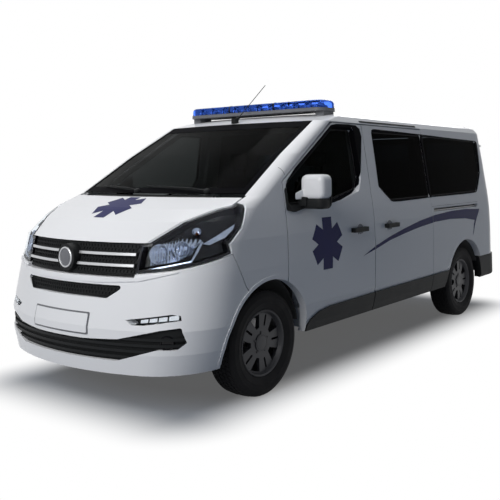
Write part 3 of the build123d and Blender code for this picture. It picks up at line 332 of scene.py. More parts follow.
def inset(points, distance):
    """A closed outline moved inwards by a distance."""
    count = len(points)
    edges = [(points[i], points[(i + 1) % count]) for i in range(count)]
    area = sum(a[0] * b[1] - b[0] * a[1] for a, b in edges)
    turn = 1.0 if area > 0 else -1.0
    moved = []
    for i in range(count):
        before, here, after = Vector(points[i - 1]), Vector(points[i]), Vector(points[(i + 1) % count])
        one, two = (here - before).normalized(), (after - here).normalized()
        first, second = Vector((-one.y, one.x)) * turn, Vector((-two.y, two.x)) * turn
        half = (first + second).normalized()
        moved.append(tuple(here + half * distance / max(0.3, half.dot(first))))
    return moved


# Shapes that several pieces share


def add_box(build, low, high, edge=0.0):
    """Adds a box with rounded edges."""
    verts = bmesh.ops.create_cube(build, size=1.0)["verts"]
    for vert in verts:
        vert.co = Vector([(a + b) / 2 + c * (b - a) for a, b, c in zip(low, high, vert.co)])
    if edge > 0:
        edges = list({line for vert in verts for line in vert.link_edges})
        bmesh.ops.bevel(build, geom=edges, offset=edge, segments=3, affect="EDGES", profile=0.5)


def add_loft(build, rings, caps=True):
    """Joins closed rings of points into a skin."""
    rows = [[build.verts.new(point) for point in ring] for ring in rings]
    count = len(rows[0])
    for lower, upper in zip(rows, rows[1:]):
        for i in range(count):
            build.faces.new((lower[i], lower[(i + 1) % count], upper[(i + 1) % count], upper[i]))
    if caps:
        build.faces.new(rows[0][::-1])
        build.faces.new(rows[-1])


def add_tube(build, path, radius, sides=10):
    """Sweeps a round rod along a path."""
    path = [Vector(point) for point in path]
    rings = []
    for i, point in enumerate(path):
        ahead = (path[min(i + 1, len(path) - 1)] - path[max(i - 1, 0)]).normalized()
        aside = ahead.cross(Vector((0, 0, 1)) if abs(ahead.z) < 0.9 else Vector((0, 1, 0))).normalized()
        upward = aside.cross(ahead)
        rings.append([point + (aside * math.cos(t) + upward * math.sin(t)) * radius
                      for t in (2 * math.pi * k / sides for k in range(sides))])
    add_loft(build, rings)


def add_turned(build, profile, centre, axis, steps=48, flute=0.0):
    """Turns a profile of radius and height about an axis through a centre. Flutes ripple the radius."""
    centre, axis = Vector(centre), Vector(axis).normalized()
    aside = axis.cross(Vector((0, 0, 1)) if abs(axis.z) < 0.9 else Vector((0, 1, 0))).normalized()
    upward = axis.cross(aside)
    rows = []
    for i in range(steps):
        turn = 2 * math.pi * i / steps
        out = aside * math.cos(turn) + upward * math.sin(turn)
        ripple = 1.0 + (flute if i % 2 else -flute)
        rows.append([build.verts.new(centre + out * max(r * ripple, 0.00005) + axis * h) for r, h in profile])
    count = len(profile)
    for i in range(steps):
        a, b = rows[i], rows[(i + 1) % steps]
        for j in range(count):
            k = (j + 1) % count
            build.faces.new((a[j], b[j], b[k], a[k]))


def rounded(half_a, half_b, radius, steps=6):
    """Points of a rounded rectangle about the middle."""
    points = []
    for quarter, (sa, sb) in enumerate(((1, 1), (-1, 1), (-1, -1), (1, -1))):
        for i in range(steps + 1):
            turn = math.pi / 2 * (quarter + i / steps)
            points.append((sa * (half_a - radius) + radius * math.cos(turn),
                           sb * (half_b - radius) + radius * math.sin(turn)))
    return points


def flipped(points, side):
    """Points of the left side, or their mirror images for the right."""
    return [Vector((p[0], p[1] * side, p[2])) for p in points]


def realise(tree, values):
    """Runs a node tree on an empty carrier and returns its result as a plain mesh."""
    carrier = bpy.data.objects.new("carrier", bpy.data.meshes.new("carrier"))
    bpy.context.scene.collection.objects.link(carrier)
    modifier = carrier.modifiers.new("pieces", "NODES")
    modifier.node_group = tree
    for item in tree.interface.items_tree:
        if item.item_type == "SOCKET" and item.in_out == "INPUT" and item.name in values:
            modifier[item.identifier] = values[item.name]
    bpy.context.view_layer.update()
    graph = bpy.context.evaluated_depsgraph_get()
    mesh = bpy.data.meshes.new_from_object(carrier.evaluated_get(graph))
    carrier.modifiers.remove(modifier)
    bpy.data.objects.remove(carrier)
    return mesh


def pattern_object(name, build):
    """A pattern for a node tree to repeat. It is removed after use."""
    bmesh.ops.recalc_face_normals(build, faces=build.faces)
    return object_of(name, build)


def tree_with(name, inputs):
    """A node tree with named inputs, its group input and its group output."""
    tree = bpy.data.node_groups.new(name, "GeometryNodeTree")
    tree.interface.new_socket(name="Geometry", in_out="OUTPUT", socket_type="NodeSocketGeometry")
    for label, kind in inputs + (("Piece", "Object"), ("Finish", "Material")):
        tree.interface.new_socket(name=label, in_out="INPUT", socket_type="NodeSocket" + kind)
    return tree, tree.nodes.new("NodeGroupInput").outputs, tree.nodes.new("NodeGroupOutput")


def end_tree(tree, given, out, points, turn=None, lift=None):
    """Instances the piece on points, then realises it and sets its finish."""
    piece = add_node(tree, "GeometryNodeObjectInfo", {"Object": given["Piece"]}).outputs["Geometry"]
    if lift is not None:
        piece = add_node(tree, "GeometryNodeTransform", {"Geometry": piece, "Translation": lift}).outputs["Geometry"]
    copies = add_node(tree, "GeometryNodeInstanceOnPoints", {"Points": points, "Instance": piece})
    if turn is not None:
        tree.links.new(turn, copies.inputs["Rotation"])
    real = add_node(tree, "GeometryNodeRealizeInstances", {"Geometry": copies.outputs["Instances"]})
    coat = add_node(tree, "GeometryNodeSetMaterial", {"Geometry": real.outputs["Geometry"],
                                                      "Material": given["Finish"]})
    tree.links.new(coat.outputs["Geometry"], out.inputs["Geometry"])


def ring_tree():
    """Pieces set at equal steps around the Y axis, at a radius."""
    tree, given, out = tree_with("ring_of_pieces", (("Count", "Int"), ("Radius", "Float")))
    points = add_node(tree, "GeometryNodePoints", {"Count": given["Count"]})
    step = add_node(tree, "ShaderNodeMath", {0: 2 * math.pi, 1: given["Count"]}, operation="DIVIDE")
    number = tree.nodes.new("GeometryNodeInputIndex")
    angle = add_node(tree, "ShaderNodeMath", {0: number.outputs[0], 1: step.outputs[0]}, operation="MULTIPLY")
    turn = add_node(tree, "ShaderNodeCombineXYZ", {"Y": angle.outputs[0]})
    rotation = add_node(tree, "FunctionNodeEulerToRotation", {0: turn.outputs[0]})
    lift = add_node(tree, "ShaderNodeCombineXYZ", {"Z": given["Radius"]})
    end_tree(tree, given, out, points.outputs[0], rotation.outputs[0], lift.outputs[0])
    return tree


def lattice_tree():
    """Pieces set in rows, each second row moved along by half a step."""
    tree, given, out = tree_with("lattice_of_pieces", (("Width", "Float"), ("Height", "Float"), ("Across", "Int"),
                                                        ("Up", "Int"), ("Shift", "Float")))
    grid = add_node(tree, "GeometryNodeMeshGrid", {"Size X": given["Width"], "Size Y": given["Height"],
                                                   "Vertices X": given["Across"], "Vertices Y": given["Up"]})
    number = tree.nodes.new("GeometryNodeInputIndex")
    row = add_node(tree, "ShaderNodeMath", {0: number.outputs[0], 1: given["Up"]}, operation="MODULO")
    odd = add_node(tree, "ShaderNodeMath", {0: row.outputs[0], 1: 2.0}, operation="MODULO")
    along = add_node(tree, "ShaderNodeMath", {0: odd.outputs[0], 1: given["Shift"]}, operation="MULTIPLY")
    move = add_node(tree, "ShaderNodeCombineXYZ", {"X": along.outputs[0]})
    place = add_node(tree, "GeometryNodeSetPosition", {"Geometry": grid.outputs["Mesh"], "Offset": move.outputs[0]})
    end_tree(tree, given, out, place.outputs["Geometry"])
    return tree


def honeycomb(build, tree, skin, low_y, high_y, low_z, high_z, pitch, depth, keep):
    """Lays a lattice of open hexagons on a skin that faces forward."""
    cell = bmesh.new()
    rings = []
    for radius, height in ((0.56, 0.0), (0.56, 1.0), (0.44, 1.0), (0.44, 0.0)):
        rings.append([(pitch * radius * math.cos(t), pitch * radius * math.sin(t), depth * height)
                      for t in (math.pi / 6 + math.pi / 3 * k for k in range(6))])
    add_loft(cell, rings + rings[:1], caps=False)
    bmesh.ops.remove_doubles(cell, verts=cell.verts, dist=0.00001)
    pattern = pattern_object("cell", cell)
    rise = pitch * 0.866
    across = max(2, int((high_y - low_y) / pitch))
    up = max(2, int((high_z - low_z) / rise) + 1)
    mesh = realise(tree, {"Width": (across - 1) * pitch, "Height": (up - 1) * rise, "Across": across, "Up": up,
                          "Shift": pitch / 2, "Piece": pattern, "Finish": FINISHES["grained_plastic"]})
    bpy.data.objects.remove(pattern)
    part = bmesh.new()
    part.from_mesh(mesh)
    lost = []
    for vert in part.verts:
        y = vert.co.x + (low_y + high_y) / 2 - pitch / 4
        z = vert.co.y + (low_z + high_z) / 2
        spot = cast(skin, 0, BEYOND, y, z)[0]
        if spot is None or not (low_z <= z <= high_z) or not keep(y, z):
            lost.append(vert)
        else:
            vert.co = Vector((spot.x + vert.co.z - 0.0005, y, z))
    bmesh.ops.delete(part, geom=lost, context="VERTS")
    merge(build, part)


# Outlines of the side windows, X and Z, in metres
FRONT_WINDOW = [(1.340, 1.240), (1.340, 1.376), (0.660, 1.798), (0.402, 1.798), (0.390, 1.420), (0.440, 1.325),
                (0.740, 1.262)]
SLIDING_WINDOW = [(0.100, 1.795), (0.112, 1.340), (-0.060, 1.216), (-0.778, 1.222), (-0.778, 1.793)]
QUARTER_WINDOW = [(-0.824, 1.222), (-0.824, 1.793), (-2.046, 1.768), (-2.032, 1.430), (-1.868, 1.236)]
# Outer edges of the black bands round those windows, and the seam behind the windscreen, X, Y and Z
FRONT_BAND = [(1.300, 1.222), (1.345, 1.232), (1.345, 1.404), (1.209, 1.511), (1.100, 1.590), (0.944, 1.700),
              (0.826, 1.775), (0.720, 1.822), (0.620, 1.838), (0.450, 1.842), (0.335, 1.838), (0.285, 1.812),
              (0.272, 1.750), (0.330, 1.565), (0.384, 1.400), (0.404, 1.362), (0.442, 1.322), (0.526, 1.293),
              (0.709, 1.249), (0.850, 1.230)]
SLIDING_BAND = [(0.106, 1.786), (0.098, 1.808), (0.075, 1.818), (0.030, 1.820), (-0.403, 1.812), (-0.7985, 1.804),
                (-0.7985, 1.2145), (-0.584, 1.208), (-0.208, 1.202), (-0.098, 1.203), (-0.055, 1.212), (0.030, 1.272),
                (0.108, 1.330), (0.117, 1.345)]
QUARTER_BAND = [(-0.8015, 1.2145), (-0.8015, 1.804), (-1.440, 1.788), (-2.045, 1.776), (-2.088, 1.768), (-2.104, 1.745),
                (-2.097, 1.678), (-2.070, 1.514), (-2.045, 1.430), (-1.968, 1.325), (-1.905, 1.256), (-1.868, 1.229),
                (-1.800, 1.224), (-1.474, 1.218)]
PILLAR_SEAM = [(1.374, 0.874, 1.502), (1.372, 0.880, 1.498), (1.369, 0.893, 1.489), (1.365, 0.905, 1.477),
               (1.361, 0.913, 1.464), (1.356, 0.916, 1.449)]
# Tyre radius and the X of the axles
TYRE_R = 0.345
FRONT_AXLE, REAR_AXLE = 1.5665, -1.5315


# Operators


class VAN_OT_finishes(bpy.types.Operator):
    """Makes the finishes and gives each CAD node its own"""

    bl_idname = "van.finishes"
    bl_label = "Finishes"

    def execute(self, context):
        colours = context.scene.van_colours
        finish("white_paint", colours.paint, 0.32, coat=0.12, shade=0.012, shade_scale=1.5, grain=0.03,
               grain_scale=350.0, gloss_level=0.22)
        finish("livery_film", colours.livery, 0.42, shade=0.05, gloss_level=0.06)
        finish("grained_plastic", colours.plastic, 0.55, shade=0.12, shade_scale=9.0, grain=0.35, grain_scale=650.0,
               cells=True, gloss_level=0.08)
        finish("gloss_black", (0.006, 0.006, 0.008), 0.12, shade=0.1, gloss_level=0.18)
        finish("border_black", (0.002, 0.002, 0.003), 0.6, shade=0.2, gloss_level=0.01)
        finish("lamp_chrome", (0.26, 0.29, 0.36), 0.22, metal=1.0, shade=0.10, shade_scale=30.0)
        finish("grey_plastic", (0.14, 0.145, 0.16), 0.45, shade=0.06, grain=0.2, gloss_level=0.3)
        finish("bright_metal", (0.72, 0.73, 0.75), 0.16, metal=1.0, shade=0.05, grain=0.03, grain_scale=300.0)
        finish("wheel_paint", colours.wheel, 0.40, metal=0.2, shade=0.08, grain=0.06, grain_scale=900.0,
               gloss_level=0.3)
        finish("tyre_rubber", (0.009, 0.009, 0.010), 0.78, shade=0.2, shade_scale=14.0, grain=0.3, grain_scale=420.0,
               gloss_level=0.12)
        finish("steel", (0.38, 0.38, 0.39), 0.38, metal=0.9, shade=0.12, grain=0.1)
        finish("iron", (0.10, 0.10, 0.105), 0.6, metal=0.7, shade=0.25, shade_scale=12.0, grain=0.3, grain_scale=260.0)
        finish("under_paint", (0.030, 0.031, 0.033), 0.7, shade=0.25, shade_scale=6.0, grain=0.3, grain_scale=300.0)
        # Painted shade for the handle recesses: a blue-grey that stands in for the shadow inside them
        finish("cup_painted_shade", (0.16, 0.17, 0.20), 0.40, shade=0.05, gloss_level=0.2)
        finish("satin_metal", (0.52, 0.53, 0.55), 0.34, metal=0.8, shade=0.05, grain=0.03)
        glass_finish("tinted_glass", (0.010, 0.012, 0.014))
        glass_finish("cab_glass", (0.11, 0.12, 0.12))
        glass_finish("clear_lens", (0.92, 0.95, 0.98), 0.015)
        glass_finish("red_lens", (0.42, 0.010, 0.008), 0.06)
        glass_finish("blue_lens", colours.blue, 0.05)
        glass_finish("amber_lens", (0.95, 0.30, 0.01), 0.06)
        weave_finish("seat_cloth", (0.045, 0.048, 0.055), 0.85, 420.0)
        finish("pad_vinyl", (0.06, 0.075, 0.12), 0.45, shade=0.08, grain=0.25, grain_scale=500.0, cells=True)
        by_slot = {
            "white_paint": "white_paint", "dark_plastic": "grained_plastic", "tinted_glass": "tinted_glass",
            "clear_glass": "cab_glass", "lamp_lens": "clear_lens", "lamp_inside": "gloss_black",
            "red_lens": "red_lens", "blue_lens": "blue_lens", "grey_plastic": "grey_plastic",
            "tyre_rubber": "tyre_rubber", "wheel_paint": "wheel_paint", "steel": "steel", "iron": "iron",
            "under_paint": "under_paint", "seat_cloth": "seat_cloth", "pad_vinyl": "pad_vinyl",
        }
        for name, node in NODES.items():
            for held in node.material_slots:
                slot = held.material.name.split(".")[0] if held.material else ""
                if slot not in by_slot:
                    raise RuntimeError("no finish for slot %r of %s" % (slot, name))
                held.material = FINISHES[by_slot[slot]]
        return {"FINISHED"}


# Livery in metres: the stripe's outline, X and Z, the film's thickness, and the middle of the bonnet's star, X and Y
SWOOSH = [(0.436, 0.801), (0.241, 0.864), (0.006, 0.920), (-0.257, 0.969), (-0.540, 1.015), (-0.843, 1.048),
          (-1.171, 1.066), (-1.525, 1.069), (-1.893, 1.053), (-1.805, 0.954), (-1.752, 0.880), (-1.726, 0.824),
          (-1.705, 0.787), (-1.713, 0.825), (-1.730, 0.894), (-1.755, 0.946), (-1.521, 0.976), (-1.167, 0.991),
          (-0.841, 0.984), (-0.537, 0.959), (-0.256, 0.926), (0.007, 0.889), (0.232, 0.840)]
LIVERY_THICK = 0.0005
BONNET_STAR = (2.035, 0.015)


def star_outline(centre, reach, width):
    """Outline of three crossing bars of one length and width."""
    points = []
    half = width / 2
    inner = half / math.sin(math.radians(30))
    for arm in range(6):
        turn = math.radians(60 * arm + 90)
        along = Vector((math.cos(turn), math.sin(turn)))
        across = Vector((-along.y, along.x))
        for corner in (along * reach - across * half, along * reach + across * half):
            points.append(corner)
        notch = math.radians(60 * arm + 120)
        points.append(Vector((math.cos(notch), math.sin(notch))) * inner)
    return [(centre[0] + p.x, centre[1] + p.y) for p in points]


class VAN_OT_livery(bpy.types.Operator):
    """Lays the stars on the bonnet and doors and the stripe along the sides"""

    bl_idname = "van.livery"
    bl_label = "Livery"

    def execute(self, context):
        sizes = context.scene.van_sizes
        for label, side in SIDES:
            door = skin_of("front_door_" + label)
            slider = skin_of("sliding_door_" + label)
            quarter = skin_of("side_panel_" + label)
            stretches = [
                ("stripe_door_" + label, SWOOSH, door, (0.2545, 0.6), "front_door_" + label),
                ("stripe_slider_" + label, SWOOSH, slider, (-0.7965, 0.2435), "body"),
                ("stripe_quarter_" + label, SWOOSH, quarter, (-2.0, -0.8035), "body"),
                ("star_door_" + label, star_outline((0.922, 0.946), 0.188, 0.118), door, (0.5, 1.3),
                 "front_door_" + label),
            ]
            for name, outline, skin, limits, body in stretches:
                build = film(outline, skin, 1, side * BESIDE, sizes.film_step, sizes.film, LIVERY_THICK, limits)
                new_piece(name, build, "livery_film", body)
        star = [(BONNET_STAR[0] + b, BONNET_STAR[1] + a) for a, b in star_outline((0.0, 0.0), 0.172, 0.104)]
        build = film(star, skin_of("bonnet"), 2, 2.4, sizes.film_step, sizes.film, LIVERY_THICK)
        new_piece("star_bonnet", build, "livery_film", "bonnet")
        return {"FINISHED"}


class VAN_OT_glazing(bpy.types.Operator):
    """Adds window bands and seals, pillar seams, roof edge strips, the screen border and the wipers"""

    bl_idname = "van.glazing"
    bl_label = "Glazing"

    SEAL_R = 0.0055
    BAND_LIFT = 0.0018
    # Facets of a band down the reveal of the opening, and out over the panel
    BAND_IN, BAND_OUT = 11, 4

    def execute(self, context):
        for label, side in SIDES:
            start = side * BESIDE
            door, slider, quarter = "front_door_" + label, "sliding_door_" + label, "side_panel_" + label
            bands = [
                ("window_band_door_" + label, FRONT_BAND, FRONT_WINDOW, 0.020, door, door),
                ("window_band_slider_" + label, SLIDING_BAND, SLIDING_WINDOW, 0.005, slider, "body"),
                ("window_band_quarter_" + label, QUARTER_BAND, QUARTER_WINDOW, 0.005, quarter, "body"),
            ]
            for name, outer, inner, reveal, node, body in bands:
                build = self.band(outer, inner, reveal, skin_of(node), side)
                new_piece(name, sheet_to_film(build, 0.001), "border_black", body)
            panes = [
                ("seal_door_" + label, FRONT_WINDOW, "door_glass_" + label, door),
                ("seal_slider_" + label, SLIDING_WINDOW, "fixed_glass", "body"),
                ("seal_quarter_" + label, QUARTER_WINDOW, "fixed_glass", "body"),
            ]
            for name, outline, node, body in panes:
                skin = skin_of(node)
                path = []
                for x, z in rounded_corners(inset(outline, 0.006), 0.018):
                    spot = cast(skin, 1, start, x, z)[0]
                    path.append(spot or skin.find_nearest(Vector((x, side * 0.95, z)))[0])
                self.rod(name, path + path[:1], self.SEAL_R, 8, "tyre_rubber", body)
            skin = skin_of(slider)
            spots = [cast(skin, 1, start, -0.7955, 1.211 + 0.0248 * k)[0] for k in range(25)]
            path = [(-0.8, spot.y - side * 0.001, spot.z) for spot in spots]
            self.rod("pillar_seal_" + label, path, self.SEAL_R, 8, "tyre_rubber", "body")
            skin = skin_of(quarter)
            path = [skin.find_nearest(Vector((x, y * side, z)))[0] for x, y, z in PILLAR_SEAM]
            self.rod("pillar_seam_" + label, path, 0.0016, 6, "border_black", "body")
            outline = [(0.262, 1.8660), (-0.72, 1.8660), (-0.72, 1.8785), (0.262, 1.8785)]
            build = film(outline, skin_of("roof_panel"), 1, start, 0.03, 0.004, 0.003)
            new_piece("gutter_strip_" + label, build, "grained_plastic", "body")
        self.screen_border()
        self.wipers()
        return {"FINISHED"}

    def rod(self, name, path, radius, sides, look, body):
        """A seal or seam as a thin rod along a path."""
        build = bmesh.new()
        add_tube(build, path, radius, sides)
        smooth(new_piece(name, build, look, body))

    def band(self, outer, inner, reveal, skin, side):
        """A black band on the panel round a window, from an outer outline in to the edge of the opening."""
        middle = sum((Vector(point) for point in inner), Vector((0.0, 0.0))) / len(inner)
        outlines = [inset(inner, -0.0008), inset(inner, 0.0005 - reveal), inset(inner, -0.001 - reveal), outer]
        turns = {math.atan2(p[1] - middle.y, p[0] - middle.x) for outline in outlines for p in outline}
        turns = sorted(turns | {math.radians(4 * k) for k in range(-45, 45)})

        def reach(outline, turn):
            ray = Vector((math.cos(turn), math.sin(turn)))
            far = 0.0
            for a, b in zip(outline, outline[1:] + outline[:1]):
                start, edge = Vector(a) - middle, Vector(b) - Vector(a)
                slant = ray.cross(edge)
                if abs(slant) > 1e-9 and -1e-5 <= start.cross(ray) / slant <= 1.00001:
                    far = max(far, start.cross(edge) / slant)
            return far

        def landing(turn, size):
            x, z = middle + Vector((math.cos(turn), math.sin(turn))) * size
            return cast(skin, 1, side * BESIDE, x, z), Vector((x, side * 0.9, z))

        build = bmesh.new()
        rows = [[] for _ in range(self.BAND_IN + self.BAND_OUT + 2)]
        for turn in turns:
            near, edge, over, last = [reach(outline, turn) for outline in outlines]
            while last > over and landing(turn, last + 0.003)[0][0] is None:
                last -= 0.001
            edge, over = min(edge, last), min(over, last)
            sizes = [near + (edge - near) * k / self.BAND_IN for k in range(self.BAND_IN + 1)]
            sizes += [over + (last - over) * k / self.BAND_OUT for k in range(self.BAND_OUT + 1)]
            for row, size in zip(rows, sizes):
                (spot, normal), aim = landing(turn, size)
                if spot is None:
                    spot, normal, _, _ = skin.find_nearest(aim)
                out = normal if normal.y * side > 0 else -normal
                row.append(build.verts.new(spot + out * self.BAND_LIFT))
        for lower, upper in zip(rows, rows[1:]):
            for i in range(len(turns)):
                j = (i + 1) % len(turns)
                build.faces.new((lower[i], lower[j], upper[j], upper[i]))
        bmesh.ops.remove_doubles(build, verts=build.verts, dist=0.00005)
        return build

    def screen_border(self):
        """A black border inside the edges of the windscreen."""
        skin = skin_of("windscreen")
        low, high = 1.330, 1.852
        half_low, half_high = 0.838, 0.758
        foot, top, aside = 0.035, 0.045, 0.040
        strips = [[(-half_low, low), (half_low, low), (half_low, low + foot), (-half_low, low + foot)],
                  [(-half_high, high - top), (half_high, high - top), (half_high, high), (-half_high, high)]]
        for side in (1, -1):
            strips.append([(side * half_low, low), (side * half_high, high), (side * (half_high - aside), high),
                           (side * (half_low - aside), low)])
        build = bmesh.new()
        for index, strip in enumerate(strips):
            merge(build, film(strip, skin, 0, BEYOND, 0.03, 0.0012 + 0.0004 * index, 0.0008))
        new_piece("screen_border", build, "border_black", "body")

    def wipers(self):
        """Two wipers: blade, spine, arm and pivot."""
        skin = skin_of("windscreen")

        def on_screen(y, z, lift):
            spot, normal = cast(skin, 0, BEYOND, y, z)
            if spot is None:
                raise RuntimeError("the wiper at %.3f, %.3f is off the windscreen" % (y, z))
            return spot + normal * lift

        build = bmesh.new()
        for pivot, tip, z_low, z_high in ((0.56, -0.03, 1.337, 1.372), (-0.06, -0.57, 1.337, 1.368)):
            blade = [on_screen(pivot + (tip - pivot) * t, z_low + (z_high - z_low) * t, 0.010)
                     for t in (0.12, 0.3, 0.5, 0.7, 0.88, 1.0)]
            add_tube(build, blade, 0.0045, 6)
            spine = [on_screen(pivot + (tip - pivot) * t, z_low + 0.004 + (z_high - z_low) * t, 0.015)
                     for t in (0.2, 0.4, 0.6, 0.8)]
            add_tube(build, spine, 0.0035, 6)
            arm = [on_screen(pivot, z_low, 0.012), on_screen(pivot + (tip - pivot) * 0.2, z_low + 0.008, 0.022),
                   on_screen(pivot + (tip - pivot) * 0.55, z_low + (z_high - z_low) * 0.55, 0.016)]
            add_tube(build, arm, 0.0055, 8)
            add_turned(build, [(0.0, 0.0), (0.022, 0.0), (0.022, 0.012), (0.015, 0.022), (0.0, 0.024)],
                       on_screen(pivot, z_low, 0.002), (0.5, 0.0, 0.87), 20)
        smooth(new_piece("wipers", build, "grained_plastic", "body"))


class VAN_OT_mirrors(bpy.types.Operator):
    """Builds the door mirrors: shell, lower housing, glass, arm and foot"""

    bl_idname = "van.mirrors"
    bl_label = "Door mirrors"

    # Middle of the glass on the left door
    GLASS_Y, GLASS_Z = 1.044, 1.330

    def execute(self, context):
        for label, side in SIDES:
            body = "front_door_" + label
            shell = bmesh.new()
            self.stack(shell, side, 1.045, 1.362, 0.100, 0.088, 0.044,
                       ((1.112, 0.97), (1.150, 1.0), (1.190, 0.985), (1.208, 0.93), (1.218, 0.82), (1.223, 0.6)))
            stub = [(1.150, 0.985, 1.322), (1.200, 0.970, 1.312), (1.262, 0.952, 1.300)]
            rings = []
            for (x, y, z), (wide, tall) in zip(stub, ((0.034, 0.046), (0.030, 0.034), (0.018, 0.024))):
                rings.append(flipped([(x + a, y, z + b) for a, b in rounded(wide, tall, 0.014)], side))
            add_loft(shell, rings)
            smooth(new_piece("mirror_shell_" + label, shell, "white_paint", body,
                             ("mirror_" + label,)), 50)
            housing = bmesh.new()
            self.stack(housing, side, 1.042, 1.247, 0.095, 0.039, 0.026,
                       ((1.112, 0.97), (1.150, 1.0), (1.192, 0.98), (1.208, 0.9), (1.218, 0.75), (1.221, 0.5)))
            rings = [self.frame(x, side, rounded(half_y, half_z, radius))
                     for x, half_y, half_z, radius in ((1.122, 0.085, 0.109, 0.034), (1.112, 0.087, 0.111, 0.034),
                                                       (1.104, 0.095, 0.119, 0.040), (1.112, 0.097, 0.121, 0.040))]
            add_loft(housing, rings, caps=False)
            arm = ((0.936, -0.034), (0.936, 0.034), (1.010, 0.030), (1.010, -0.030))
            add_loft(housing, [flipped([(x, y, 1.262 + z) for y, z in arm], side) for x in (1.170, 1.232)])
            smooth(new_piece("mirror_housing_" + label, housing, "grained_plastic", body,
                             ("mirror_" + label,)), 40)
            pane = bmesh.new()
            face = rounded(0.086, 0.110, 0.034)
            add_loft(pane, [self.frame(x, side, [(a * k, b * k) for a, b in face])
                            for x, k in ((1.119, 1.0), (1.1165, 1.0), (1.1155, 0.97))])
            smooth(new_piece("mirror_glass_" + label, pane, "bright_metal", body,
                             ("mirror_" + label,)))
            foot = [(1.380, 1.206), (1.380, 1.350), (1.350, 1.362), (1.168, 1.256), (1.168, 1.214), (1.300, 1.190)]
            build = film(rounded_corners(foot, 0.012), skin_of(body), 1, side * BESIDE, 0.02, 0.012, 0.012)
            new_piece("mirror_foot_" + label, build, "grained_plastic", body, ("mirror_" + label,))
        return {"FINISHED"}

    def frame(self, x, side, outline):
        """An outline about the middle of the glass, at a place along the van."""
        return flipped([(x, self.GLASS_Y + a, self.GLASS_Z + b) for a, b in outline], side)

    def stack(self, build, side, y, z, half_y, half_z, radius, stations):
        """Joins rounded rectangles, each a share of the full size, into a closed shell."""
        rings = []
        for x, share in stations:
            ring = rounded(half_y * share, half_z * share, radius * share)
            rings.append(flipped([(x, y + a, z + b) for a, b in ring], side))
        add_loft(build, rings)


